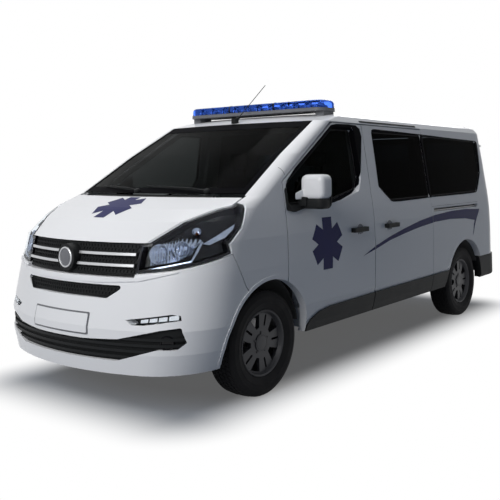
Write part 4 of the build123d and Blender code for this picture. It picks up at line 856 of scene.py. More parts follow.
class VAN_OT_headlamps(bpy.types.Operator):
    """Fills the headlamp housings with reflectors, bulbs and light strips"""

    bl_idname = "van.headlamps"
    bl_label = "Headlamps"

    BOWLS = (
        # name, x, y, z on the lens, radius, depth
        ("dipped", 2.272, 0.664, 0.985, 0.058, 0.030),
        ("main", 2.200, 0.786, 1.012, 0.047, 0.028),
        ("turn", 2.098, 0.812, 1.118, 0.027, 0.020),
    )
    STRIP = ((2.331, 0.590, 0.885), (2.271, 0.724, 0.912), (2.181, 0.849, 0.939), (2.147, 0.870, 1.002),
             (2.108, 0.880, 1.059))
    WEDGE = ((2.113, 0.883, 1.048), (2.002, 0.918, 1.100), (1.885, 0.943, 1.152), (1.908, 0.948, 1.119),
             (1.976, 0.943, 1.075), (2.081, 0.910, 1.034))
    PLATE_LOW = ((2.312, 0.612, 0.918), (2.281, 0.692, 0.930), (2.235, 0.779, 0.945), (2.172, 0.848, 0.985))
    PLATE_HIGH = ((2.290, 0.604, 1.035), (2.228, 0.670, 1.066), (2.170, 0.741, 1.086), (2.098, 0.860, 1.080))

    def execute(self, context):
        skin = skin_of("lamp_lenses")
        for label, side in SIDES:
            bowls, bulbs, amber = bmesh.new(), bmesh.new(), bmesh.new()
            for name, x, y, z, radius, depth in self.BOWLS:
                place, out = self.under(skin, (x, y * side, z), 0.010)
                profile = [(radius, 0.0), (radius * 0.86, -depth * 0.42), (radius * 0.62, -depth * 0.78),
                           (radius * 0.30, -depth), (radius * 0.30, -depth - 0.002), (radius * 0.64, -depth * 0.86),
                           (radius * 0.90, -depth * 0.46), (radius * 1.05, 0.001)]
                add_turned(bowls, profile, place, out, 64, 0.012)
                glow = [(0.0, -depth), (radius * 0.26, -depth), (radius * 0.26, -depth * 0.75),
                        (radius * 0.17, -depth * 0.45), (0.0, -depth * 0.40)]
                add_turned(amber if name == "turn" else bulbs, glow, place, out, 20)
            path = []
            for a, b in zip(self.STRIP, self.STRIP[1:]):
                for t in (0.0, 0.25, 0.5, 0.75):
                    path.append([p + (q - p) * t for p, q in zip(a, b)])
            path.append(self.STRIP[-1])
            strip = [self.under(skin, (p[0], p[1] * side, p[2]), 0.016)[0] for p in path]
            add_tube(bowls, strip, 0.0085, 8)
            wedge = [self.under(skin, (p[0], p[1] * side, p[2]), 0.014)[0] for p in self.WEDGE]
            deep = [self.under(skin, (p[0], p[1] * side, p[2]), 0.017)[0] for p in self.WEDGE]
            add_loft(bowls, [wedge, deep])
            self.ribbed_plate(bowls, skin, side)
            smooth(new_piece("lamp_reflectors_" + label, bowls, "lamp_chrome", "body"), 40)
            smooth(new_piece("lamp_bulbs_" + label, bulbs, "clear_lens", "body"))
            smooth(new_piece("lamp_turn_bulb_" + label, amber, "amber_lens", "body"))
        return {"FINISHED"}

    def ribbed_plate(self, build, skin, side):
        """A rippled reflector behind the bowls, laid between a lower and an upper row of points."""
        def along(row, t):
            spot = t * (len(row) - 1)
            index = min(int(spot), len(row) - 2)
            return [a + (b - a) * (spot - index) for a, b in zip(row[index], row[index + 1])]

        rows = []
        columns, steps = 60, 6
        for i in range(columns + 1):
            low, high = along(self.PLATE_LOW, i / columns), along(self.PLATE_HIGH, i / columns)
            row = []
            for j in range(steps + 1):
                point = [a + (b - a) * j / steps for a, b in zip(low, high)]
                depth = 0.027 + 0.0035 * math.cos(i * math.pi / 2) + 0.004 * math.cos(j * math.pi / 3)
                row.append(self.under(skin, (point[0], point[1] * side, point[2]), depth)[0])
            rows.append(row)
        front = [[build.verts.new(point) for point in row] for row in rows]
        back = [[build.verts.new(point + Vector((-0.002, 0, -0.001))) for point in row] for row in rows]
        for i in range(columns):
            for j in range(steps):
                build.faces.new((front[i][j], front[i + 1][j], front[i + 1][j + 1], front[i][j + 1]))
                build.faces.new((back[i][j], back[i][j + 1], back[i + 1][j + 1], back[i + 1][j]))
            for j in (0, steps):
                build.faces.new((front[i][j], back[i][j], back[i + 1][j], front[i + 1][j]))
        for j in range(steps):
            for i in (0, columns):
                build.faces.new((front[i][j], back[i][j], back[i][j + 1], front[i][j + 1]))

    def under(self, skin, point, depth):
        """The place under the lens nearest to a point, and the way out."""
        spot, normal, _, _ = skin.find_nearest(Vector(point))
        away = spot - Vector((1.6, 0.0, 0.8))
        out = normal if normal.dot(away) > 0 else -normal
        return spot - out * depth, out


class VAN_OT_nose(bpy.types.Operator):
    """Adds the grille mesh, bars, disc and strip, the plate, the intake liner and the low lamps"""

    bl_idname = "van.nose"
    bl_label = "Nose"

    # Height of the grille's disc, and the inner lower corner of the low lamps
    DISC_Z = 0.945
    LAMP_Y, LAMP_Z = 0.628, 0.5865

    def execute(self, context):
        sizes = context.scene.van_sizes
        grille, low_grille = skin_of("upper_grille"), skin_of("lower_grille")
        bumper = skin_of("front_bumper", "lower_grille", "lamp_lenses", "headlamps")
        tree = lattice_tree()
        build = bmesh.new()
        for low, high in ((0.853, 0.899), (0.925, 0.965), (0.991, 1.034)):
            honeycomb(build, tree, grille, -0.53, 0.53, low, high, sizes.mesh_pitch, 0.007,
                      lambda y, z: math.hypot(y, z - self.DISC_Z) > 0.092)
        honeycomb(build, tree, low_grille, -0.50, 0.50, 0.722, 0.792, sizes.mesh_pitch, 0.007,
                  lambda y, z: abs(y) < 0.37 + (z - 0.718) * 1.5)
        new_piece("grille_mesh", build, "grained_plastic", "body")
        build = bmesh.new()
        for z in (0.912, 0.978):
            for side in (1, -1):
                outline = [(side * 0.088, z - 0.008), (side * 0.529, z - 0.008), (side * 0.529, z + 0.008),
                           (side * 0.088, z + 0.008)]
                merge(build, film(outline, grille, 0, BEYOND, 0.03, 0.005, 0.004))
        spot = cast(grille, 0, BEYOND, 0.0, self.DISC_Z)[0]
        add_turned(build, [(0.054, 0.0), (0.056, 0.007), (0.060, 0.009), (0.065, 0.006), (0.066, 0.0)], spot,
                   (1, 0, 0), 64)
        smooth(new_piece("grille_bars", build, "satin_metal", "body"))
        build = bmesh.new()
        add_turned(build, [(0.0, 0.0065), (0.030, 0.0055), (0.050, 0.0030), (0.055, 0.001), (0.055, -0.001),
                           (0.0, -0.001)], spot, (1, 0, 0), 64)
        smooth(new_piece("grille_disc", build, "grey_plastic", "body"))
        strip = [(-0.800, 0.884), (-0.585, 0.846), (-0.300, 0.838), (0.300, 0.838), (0.585, 0.846), (0.800, 0.884),
                 (0.800, 0.876), (0.585, 0.824), (0.300, 0.808), (-0.300, 0.808), (-0.585, 0.824), (-0.800, 0.876)]
        face = skin_of("front_bumper")
        build = film(strip, face, 0, BEYOND, 0.03, 0.007, 0.006)
        smooth(new_piece("grille_strip", build, "white_paint", "body"))
        plate = [(-0.262, 0.508), (0.262, 0.508), (0.262, 0.620), (-0.262, 0.620)]
        build = film(rounded_corners(plate, 0.010), bumper, 0, BEYOND, 0.04, 0.006, 0.003)
        new_piece("front_plate", build, "white_paint", "body")
        holder = [(-0.272, 0.498), (0.272, 0.498), (0.272, 0.630), (-0.272, 0.630)]
        build = film(rounded_corners(holder, 0.012), bumper, 0, BEYOND, 0.04, 0.003, 0.003)
        new_piece("plate_holder", build, "grey_plastic", "body")
        intake = [(-0.500, 0.796), (0.500, 0.796), (0.380, 0.718), (-0.380, 0.718)]
        rings = []
        for inward, depth in ((0.0008, 0.002), (0.003, 0.002), (0.003, 0.030), (0.0008, 0.030), (0.0008, 0.002)):
            ring = []
            for (y, z), (y_out, z_out) in zip(rounded_corners(inset(intake, inward), 0.014),
                                              rounded_corners(inset(intake, -0.006), 0.014)):
                ring.append((cast(face, 0, BEYOND, y_out, z_out)[0].x - depth, y, z))
            rings.append(ring)
        build = bmesh.new()
        add_loft(build, rings, caps=False)
        bmesh.ops.remove_doubles(build, verts=build.verts, dist=0.00005)
        bmesh.ops.recalc_face_normals(build, faces=build.faces)
        smooth(new_piece("intake_liner", build, "grained_plastic", "body"), 30)
        for label, side in SIDES:
            lens, backs, cover = bmesh.new(), bmesh.new(), bmesh.new()
            for index in range(4):
                near, far = self.LAMP_Y + 0.052 * index, self.LAMP_Y + 0.044 + 0.052 * index
                low, high = [[(side * y, self.LAMP_Z + rise + (y - self.LAMP_Y) * slope) for y in (near, far)]
                             for rise, slope in ((0.0, 0.105), (0.018, 0.150))]
                outline = low + high[::-1]
                merge(backs, film(outline, bumper, 0, BEYOND, 0.02, 0.003, 0.0025))
                merge(lens, film(outline, bumper, 0, BEYOND, 0.02, 0.0065, 0.003))
            spot, out = cast(bumper, 0, BEYOND, side * 0.765, 0.470)
            add_turned(cover, [(0.0, 0.006), (0.030, 0.006), (0.034, 0.012), (0.040, 0.012), (0.046, 0.004),
                               (0.047, -0.012), (0.0, -0.012)], spot, out, 48)
            smooth(new_piece("fog_cover_" + label, cover, "gloss_black", "body"), 40)
            smooth(new_piece("low_lamp_backs_" + label, backs, "bright_metal", "body"))
            smooth(new_piece("low_lamp_lenses_" + label, lens, "clear_lens", "body"))
        return {"FINISHED"}


class VAN_OT_wheels(bpy.types.Operator):
    """Builds the tyres with their tread, and dresses the wheels and brakes"""

    bl_idname = "van.wheels"
    bl_label = "Wheels"

    # Half width of the tread, and how far the crown falls away at its edge
    TREAD_HALF, CROWN = 0.0775, 0.005

    def execute(self, context):
        sizes = context.scene.van_sizes
        tree = ring_tree()
        block_row = pattern_object("tread_row", self.tread_row(sizes.tread_depth, sizes.tread_blocks))
        mesh = realise(tree, {"Count": sizes.tread_blocks, "Radius": TYRE_R, "Piece": block_row,
                              "Finish": FINISHES["tyre_rubber"]})
        bpy.data.objects.remove(block_row)
        for end, x, half_track in (("front", FRONT_AXLE, 0.8075), ("rear", REAR_AXLE, 0.814)):
            for label, side in SIDES:
                name = "%s_%s" % (end, label)
                centre = Vector((x, side * half_track, TYRE_R))
                rod = Vector((0, side, 0))
                body = "wheel_" + name
                build = bmesh.new()
                build.from_mesh(mesh)
                bmesh.ops.translate(build, vec=centre, verts=build.verts)
                add_turned(build, self.tyre_profile(sizes.tread_depth), centre, rod, 120)
                smooth(new_piece("tyre_dressed_" + name, build, "tyre_rubber", body,
                                 ("tyre_" + name,)), 30)
                build = bmesh.new()
                add_turned(build, [(0.0, 0.0755), (0.030, 0.0750), (0.046, 0.0735), (0.0475, 0.0715), (0.0500, 0.0715),
                                   (0.0515, 0.0735), (0.0560, 0.0725), (0.0575, 0.066), (0.0, 0.066)], centre,
                           rod, 56)
                add_turned(build, [(0.2055, 0.0845), (0.2085, 0.0895), (0.2120, 0.0905), (0.2150, 0.0880),
                                   (0.2160, 0.0845)], centre, rod, 96)
                for bolt in range(5):
                    turn = 2 * math.pi * bolt / 5 + math.pi / 10
                    out = Vector((math.cos(turn), 0, math.sin(turn)))
                    add_turned(build, [(0.0, 0.0), (0.0085, 0.0), (0.0085, 0.004), (0.006, 0.006), (0.0, 0.006)],
                               centre + out * 0.067 + rod * 0.0655, rod, 6)
                smooth(new_piece("wheel_cap_" + name, build, "wheel_paint", body))
                build = bmesh.new()
                add_turned(build, [(0.060, -0.050), (0.148, -0.050), (0.152, -0.047), (0.152, -0.031), (0.148, -0.028),
                                   (0.078, -0.028), (0.070, -0.012), (0.060, -0.012)], centre, rod, 72)
                held = "body" if end == "rear" else "knuckle_" + label
                smooth(new_piece("brake_disc_" + name, build, "steel", held))
        return {"FINISHED"}

    def tyre_profile(self, depth):
        """Radius and offset of the tyre's skin, from one bead over the tread to the other."""
        outer = [(0.3355, 0.0870), (0.3280, 0.0950), (0.3150, 0.1018), (0.3040, 0.1048), (0.3020, 0.1064),
                 (0.2960, 0.1069), (0.2940, 0.1056), (0.2850, 0.1062), (0.2680, 0.1052), (0.2660, 0.1066),
                 (0.2610, 0.1060), (0.2590, 0.1038), (0.2480, 0.1005), (0.2380, 0.0955), (0.2300, 0.0915),
                 (0.2200, 0.0865), (0.2160, 0.0850)]
        crown = [(TYRE_R - depth - self.fall(y), y) for y in (-self.TREAD_HALF, -0.04, 0.0, 0.04, self.TREAD_HALF)]
        return [(r, -y) for r, y in outer[::-1]] + crown + outer

    def fall(self, y):
        """How far the crown has fallen away at an offset from the middle."""
        return self.CROWN * (y / self.TREAD_HALF) ** 2

    def tread_row(self, depth, count):
        """One row of five tread blocks across the tyre."""
        row = bmesh.new()
        pitch = 2 * math.pi * TYRE_R / count
        for number, y in enumerate((-0.066, -0.033, 0.0, 0.033, 0.066)):
            half_y = 0.0135
            shift = pitch / 2 if number % 2 else 0.0
            corners = []
            for height, share in ((-depth - 0.001, 1.0), (-0.0004, 0.92)):
                for a, b in ((-1, -1), (1, -1), (1, 1), (-1, 1)):
                    wide = y + b * half_y * share
                    along = a * pitch * 0.42 * share + shift + 0.22 * (wide - y)
                    corners.append(row.verts.new((along, wide, height - self.fall(wide))))
            for face in ((0, 1, 2, 3), (4, 5, 6, 7), (0, 1, 5, 4), (1, 2, 6, 5), (2, 3, 7, 6), (3, 0, 4, 7)):
                row.faces.new([corners[i] for i in face])
        return row


class VAN_OT_side_trim(bpy.types.Operator):
    """Adds the slide rails, arch lips and handle cups along the sides; each cup is a disc of painted shade for the
    recess, with a white paint crescent below
    """

    bl_idname = "van.side_trim"
    bl_label = "Side trim"

    CUP_Z = 1.010

    def execute(self, context):
        for label, side in SIDES:
            start = side * BESIDE
            quarter = skin_of("side_panel_" + label)
            edge = min(abs(cast(quarter, 1, start, x, 1.125)[0].y) for x in (-0.85, -1.84))
            rail, runner = bmesh.new(), bmesh.new()
            for build, far, near, low, high in ((rail, 0.040, 0.022, 1.0825, 1.1075),
                                                (runner, 0.022, 0.014, 1.0855, 1.0925)):
                ends = sorted((side * (edge - far), side * (edge - near)))
                add_box(build, (-1.847, ends[0], low), (-0.843, ends[1], high), 0.002)
            new_piece("slide_rail_" + label, rail, "grained_plastic", "body")
            new_piece("slide_runner_" + label, runner, "steel", "body")
            outline = [(-1.862, 1.1285), (-0.806, 1.1285), (-0.806, 1.1310), (-1.862, 1.1310)]
            build = film(outline, quarter, 1, start, 0.05, 0.0009, 0.0006)
            new_piece("rail_cover_line_" + label, build, "gloss_black", "body")
            lips = [
                ("arch_lip_front_" + label, FRONT_AXLE, ("front_wings", "front_bumper"), (1.394, 2.1)),
                ("arch_lip_rear_" + label, REAR_AXLE, ("side_panel_" + label,), (-2.02, -1.0)),
            ]
            for name, x, nodes, limits in lips:
                arc = [(x + r * math.cos(t), TYRE_R + r * math.sin(t))
                       for r, turns in ((0.4215, range(-2, 62)), (0.4445, range(61, -3, -1)))
                       for t in (math.pi * k / 60 for k in turns)]
                build = film(arc, skin_of(*nodes), 1, start, 0.5, 0.0045, 0.004, limits)
                smooth(new_piece(name, build, "white_paint", "body"))
            # Each cup's disc is painted shade: a blue-grey film standing in for the shadow in the handle recess, whose
            # own colour is the body's white paint; the crescent below shows that white paint
            cups = [("handle_cup_door_" + label, 0.470, "front_door_" + label, "front_door_" + label),
                    ("handle_cup_slider_" + label, 0.010, "sliding_door_" + label, "body")]
            for name, x, node, body in cups:
                ring = [(x + 0.046 * math.cos(t), self.CUP_Z + 0.044 * math.sin(t))
                        for t in (2 * math.pi * k / 40 for k in range(40))]
                build = film(ring, skin_of(node), 1, start, 0.03, 0.0012, 0.001)
                new_piece(name, build, "cup_painted_shade", body)
                low = [(x + r * math.cos(t), self.CUP_Z + r * 0.95 * math.sin(t))
                       for r, turns in ((0.047, range(7, 18)), (0.036, range(17, 6, -1)))
                       for t in (math.pi + math.pi * k / 24 for k in turns)]
                build = film(low, skin_of(node), 1, start, 0.03, 0.0030, 0.002)
                new_piece(name + "_rim", build, "white_paint", body)
        return {"FINISHED"}


class VAN_OT_roof(bpy.types.Operator):
    """Hollows the light bar's lens and fills it with lamp modules"""

    bl_idname = "van.roof"
    bl_label = "Light bar"

    # Middle of the bar, and the heights of its lamps and of its bands
    BAR_X, LAMP_Z, BAND_Z = 0.525, 2.008, 2.0095

    def execute(self, context):
        build = bmesh.new()
        build.from_mesh(NODES["light_bar_lens"].data)
        bmesh.ops.remove_doubles(build, verts=build.verts, dist=0.00002)
        bmesh.ops.recalc_face_normals(build, faces=build.faces)
        bmesh.ops.solidify(build, geom=build.faces[:], thickness=0.004)
        lens = new_piece("light_bar_cover", build, "blue_lens", "body", ("light_bar_lens",))
        smooth(lens, 40)
        cups, cores, bands = bmesh.new(), bmesh.new(), bmesh.new()
        for row in (1, -1):
            for index in range(10):
                y = -0.585 + 1.17 * index / 9
                place = (self.BAR_X + row * 0.085, y, self.LAMP_Z)
                add_turned(cups, [(0.030, 0.0), (0.026, -0.014), (0.012, -0.026), (0.010, -0.028), (0.027, -0.016),
                                  (0.032, 0.001)], place, (row, 0, 0), 24)
                add_turned(cores, [(0.0, -0.026), (0.010, -0.026), (0.010, -0.012), (0.0, -0.008)], place,
                           (row, 0, 0), 12)
        add_box(cores, (0.455, -0.66, 1.980), (0.595, 0.66, 2.012), 0.010)
        for y in (-0.245, 0.245):
            outer, inner = rounded(0.1215, 0.0345, 0.030), rounded(0.1175, 0.0305, 0.028)
            rings = [[(self.BAR_X + a, y + w, self.BAND_Z + b) for a, b in loop]
                     for loop, w in ((outer, -0.006), (outer, 0.006), (inner, 0.006), (inner, -0.006))]
            add_loft(bands, rings + rings[:1], caps=False)
            bmesh.ops.remove_doubles(bands, verts=bands.verts, dist=0.00001)
        smooth(new_piece("light_bar_cups", cups, "bright_metal", "body"))
        smooth(new_piece("light_bar_cores", cores, "white_paint", "body"))
        smooth(new_piece("light_bar_bands", bands, "gloss_black", "body"))
        return {"FINISHED"}


class VAN_OT_tail(bpy.types.Operator):
    """Divides the tail lamps and adds the rear handle"""

    bl_idname = "van.tail"
    bl_label = "Tail"

    def execute(self, context):
        lamps = skin_of("tail_lamps")
        for label, side in SIDES:
            for name, low, high, look in (("turn", 0.985, 1.070, "amber_lens"), ("reverse", 0.885, 0.970, "clear_lens"),
                                          ("stop", 0.785, 0.870, "red_lens"), ("fog", 0.705, 0.770, "red_lens")):
                outline = [(side * 0.748, low), (side * 0.890, low), (side * 0.890, high), (side * 0.748, high)]
                outline = rounded_corners(outline, 0.014)
                build = film(outline, lamps, 0, -BEYOND, 0.03, 0.002, 0.0015)
                smooth(new_piece("tail_%s_back_%s" % (name, label), build, "bright_metal", "body"))
                build = film(outline, lamps, 0, -BEYOND, 0.03, 0.006, 0.003)
                smooth(new_piece("tail_%s_%s" % (name, label), build, look, "body"))
        doors = skin_of("rear_door_left")
        outline = rounded_corners([(0.030, 1.000), (0.190, 1.000), (0.190, 1.075), (0.030, 1.075)], 0.02)
        build = film(outline, doors, 0, -BEYOND, 0.03, 0.003, 0.003)
        new_piece("rear_handle_plate", build, "grained_plastic", "rear_door_left")
        spot = cast(doors, 0, -BEYOND, 0.11, 1.037)[0]
        build = bmesh.new()
        add_box(build, (spot.x - 0.030, 0.045, 1.040), (spot.x - 0.018, 0.175, 1.062), 0.004)
        for y in (0.050, 0.150):
            add_box(build, (spot.x - 0.024, y, 1.043), (spot.x + 0.001, y + 0.020, 1.059), 0.003)
        smooth(new_piece("rear_handle", build, "gloss_black", "rear_door_left"))
        return {"FINISHED"}


PRESSURE = 4.0
SWELL_FRAMES = 20


def soft_pad(name, build, slot, replaced, cap, grooves=(), voxel=0.013):
    """Swells a closed shape with a cloth run under pressure and presses sewn channels into it."""
    scene = bpy.context.scene
    bmesh.ops.recalc_face_normals(build, faces=build.faces)
    piece = object_of(name, build)
    mesh = piece.data
    mesh.remesh_voxel_size = voxel
    with bpy.context.temp_override(object=piece, active_object=piece, selected_objects=[piece],
                                   selected_editable_objects=[piece]):
        bpy.ops.object.voxel_remesh()
    rest = [vert.co.copy() for vert in mesh.vertices]
    swell = piece.modifiers.new("swell", "CLOTH")
    swell.settings.use_pressure = True
    swell.settings.uniform_pressure_force = PRESSURE
    swell.settings.effector_weights.gravity = 0.0
    swell.settings.quality = 4
    swell.point_cache.frame_start = 1
    swell.point_cache.frame_end = SWELL_FRAMES
    for number in range(1, SWELL_FRAMES + 1):
        scene.frame_set(number)
    graph = bpy.context.evaluated_depsgraph_get()
    swollen = [vert.co.copy() for vert in piece.evaluated_get(graph).data.vertices]
    piece.modifiers.remove(swell)
    scene.frame_set(1)
    for vert, was, now in zip(mesh.vertices, rest, swollen):
        move = now - was
        if move.length > cap:
            move *= cap / move.length
        vert.co = was + move
    normals = [vert.normal.copy() for vert in mesh.vertices]
    for direction, value, half, depth in grooves:
        for vert, normal in zip(mesh.vertices, normals):
            off = abs(vert.co[direction] - value) / half
            if off < 1.0:
                vert.co = vert.co - normal * depth * (1.0 - off * off)
    mesh.materials.append(FINISHES[slot])
    mesh.shade_smooth()
    finer = piece.modifiers.new("finer", "SUBSURF")
    finer.levels = 1
    finer.render_levels = 1
    settle(piece, "body", replaced)


def tilted_box(build, low, high, edge, angle, place):
    """A box with rounded edges, turned about Y and moved to a place."""
    part = bmesh.new()
    add_box(part, low, high, edge)
    bmesh.ops.rotate(part, cent=(0, 0, 0), matrix=Matrix.Rotation(angle, 3, "Y"), verts=part.verts)
    bmesh.ops.translate(part, vec=Vector(place), verts=part.verts)
    merge(build, part)


class VAN_OT_cab(bpy.types.Operator):
    """Upholsters the cab seats and fits out the dashboard"""

    bl_idname = "van.cab"
    bl_label = "Cab"

    def execute(self, context):
        lean, tip = math.radians(-10.5), math.radians(-3.0)
        frames = bmesh.new()
        for label, y in (("left", 0.43), ("right", -0.43)):
            build = bmesh.new()
            tilted_box(build, (-0.245, -0.205, -0.045), (0.245, 0.205, 0.040), 0.025, tip, (0.685, y, 0.826))
            for side in (1, -1):
                tilted_box(build, (-0.235, -0.030, -0.045), (0.235, 0.030, 0.062), 0.022, tip,
                           (0.685, y + side * 0.205, 0.826))
            soft_pad("seat_cushion_" + label, build, "seat_cloth", ("cab_seats",), 0.020,
                     [(0, x, 0.012, 0.006) for x in (0.60, 0.78)])
            build = bmesh.new()
            tilted_box(build, (-0.042, -0.185, 0.0), (0.032, 0.185, 0.575), 0.025, lean, (0.398, y, 0.885))
            for side in (1, -1):
                tilted_box(build, (-0.040, -0.028, 0.02), (0.058, 0.028, 0.52), 0.022, lean,
                           (0.398, y + side * 0.190, 0.885))
            soft_pad("seat_back_" + label, build, "seat_cloth", ("cab_seats",), 0.020,
                     [(2, z, 0.012, 0.006) for z in (1.06, 1.22, 1.36)])
            build = bmesh.new()
            tilted_box(build, (-0.030, -0.105, -0.065), (0.030, 0.105, 0.065), 0.028, lean, (0.308, y, 1.572))
            soft_pad("head_rest_" + label, build, "seat_cloth", ("cab_seats",), 0.012)
            add_box(frames, (0.435, y - 0.195, 0.553), (0.855, y + 0.195, 0.600), 0.006)
            add_box(frames, (0.480, y - 0.165, 0.595), (0.820, y + 0.165, 0.752), 0.010)
            add_box(frames, (0.440, y - 0.230, 0.742), (0.900, y + 0.230, 0.778), 0.008)
            for side in (1, -1):
                add_tube(frames, [(0.302, y + side * 0.06, 1.44), (0.308, y + side * 0.06, 1.53)], 0.006)
                bracket = y + side * 0.235
                add_box(frames, (0.360, bracket - 0.006, 0.760), (0.470, bracket + 0.006, 0.900), 0.004)
        new_piece("seat_frames", frames, "grained_plastic", "body", ("cab_seats",))
        self.dashboard()
        return {"FINISHED"}

    def dashboard(self):
        """Vents, screen, knobs and glove box on the dashboard's face."""
        skin = skin_of("dashboard")

        def face(y, z):
            spot = skin.ray_cast(Vector((0.2, y, z)), Vector((1, 0, 0)))[0]
            if spot is None:
                raise RuntimeError("no dashboard at %.2f, %.2f" % (y, z))
            return spot.x

        dark, trim = bmesh.new(), bmesh.new()
        vent = 1.14
        for y in (-0.64, -0.16, 0.16, 0.64):
            x = face(y, vent)
            add_turned(trim, [(0.030, 0.0), (0.033, 0.010), (0.040, 0.011), (0.042, 0.0)], (x, y, vent), (-1, 0, 0), 32)
            add_turned(dark, [(0.0, 0.0), (0.031, 0.0), (0.031, 0.003), (0.0, 0.004)], (x, y, vent), (-1, 0, 0), 24)
            for step in (-2, -1, 0, 1, 2):
                z = vent + step * 0.010
                add_box(dark, (x - 0.008, y - 0.027, z - 0.002), (x - 0.002, y + 0.027, z + 0.002), 0.0005)
        x = face(0.0, 1.11)
        add_box(trim, (x - 0.016, -0.105, 1.045), (x + 0.002, 0.105, 1.175), 0.006)
        add_box(dark, (x - 0.0185, -0.095, 1.055), (x - 0.0155, 0.095, 1.165), 0.001)
        x = face(0.0, 0.98)
        for index in range(5):
            add_turned(trim, [(0.0, 0.016), (0.013, 0.016), (0.016, 0.0), (0.0, 0.0)], (x, -0.08 + 0.04 * index, 0.98),
                       (-1, 0, 0), 20)
        x = face(-0.43, 1.02)
        add_box(trim, (x - 0.008, -0.60, 0.93), (x + 0.002, -0.27, 1.06), 0.006)
        smooth(new_piece("dashboard_trim", trim, "grey_plastic", "body"), 40)
        smooth(new_piece("dashboard_dark", dark, "gloss_black", "body"), 40)


class VAN_OT_patient_bay(bpy.types.Operator):
    """Builds the stretcher's frame and mattress and the ribbed floor mat"""

    bl_idname = "van.patient_bay"
    bl_label = "Patient bay"

    def execute(self, context):
        rise = math.atan2(0.250, 0.570)
        build = bmesh.new()
        add_box(build, (-2.175, -0.080, 0.946), (-0.945, 0.400, 1.000), 0.022)
        soft_pad("mattress_flat", build, "pad_vinyl", ("stretcher",), 0.012,
                 [(0, x, 0.014, 0.008) for x in (-1.87, -1.56, -1.25)], 0.015)
        build = bmesh.new()
        tilted_box(build, (0.0, -0.080, 0.012), (0.600, 0.400, 0.066), 0.022, -rise, (-0.905, 0.0, 0.936))
        soft_pad("mattress_back", build, "pad_vinyl", ("stretcher",), 0.012,
                 [(0, x, 0.014, 0.008) for x in (-0.72, -0.53)], 0.015)
        frame, wheels = bmesh.new(), bmesh.new()
        for y in (-0.105, 0.425):
            add_tube(frame, [(-2.190, y, 0.915), (-0.930, y, 0.915), (-0.900, y, 0.922), (-0.330, y, 1.172)], 0.014)
            add_tube(frame, [(-2.120, y, 0.625), (-0.380, y, 0.625)], 0.014)
            add_tube(frame, [(-1.980, y * 0.98, 0.625), (-0.960, y * 0.98, 0.905)], 0.012)
            add_tube(frame, [(-0.960, y * 0.96, 0.625), (-1.980, y * 0.96, 0.905)], 0.012)
            add_tube(frame, [(-1.70, y, 0.915), (-1.70, y, 1.06), (-1.20, y, 1.06), (-1.20, y, 0.915)], 0.009)
            for x in (-2.08, -0.42):
                add_turned(wheels, [(0.018, -0.014), (0.048, -0.016), (0.052, -0.010), (0.052, 0.010), (0.048, 0.016),
                                    (0.018, 0.014)], (x, y, 0.606), (0, 1, 0), 28)
                add_box(frame, (x - 0.014, y - 0.020, 0.600), (x + 0.014, y + 0.020, 0.632), 0.003)
        for x, z in ((-2.19, 0.915), (-1.6, 0.915), (-0.93, 0.915), (-0.33, 1.172), (-2.12, 0.625), (-0.38, 0.625)):
            add_tube(frame, [(x, -0.105, z), (x, 0.425, z)], 0.012)
        add_box(frame, (-2.170, -0.095, 0.918), (-0.930, 0.415, 0.930), 0.003)
        tilted_box(frame, (0.0, -0.095, -0.002), (0.610, 0.415, 0.008), 0.003, -rise, (-0.905, 0.0, 0.936))
        smooth(new_piece("stretcher_frame", frame, "steel", "body", ("stretcher",)), 40)
        smooth(new_piece("stretcher_wheels", wheels, "tyre_rubber", "body",
                         ("stretcher",)), 40)
        mat = bmesh.new()
        add_box(mat, (-2.300, -0.600, 0.5525), (0.120, 0.600, 0.5555), 0.001)
        for index in range(25):
            y = -0.576 + 0.048 * index
            add_box(mat, (-2.290, y - 0.006, 0.5550), (0.110, y + 0.006, 0.5575), 0.001)
        new_piece("floor_mat", mat, "grey_plastic", "body")
        return {"FINISHED"}


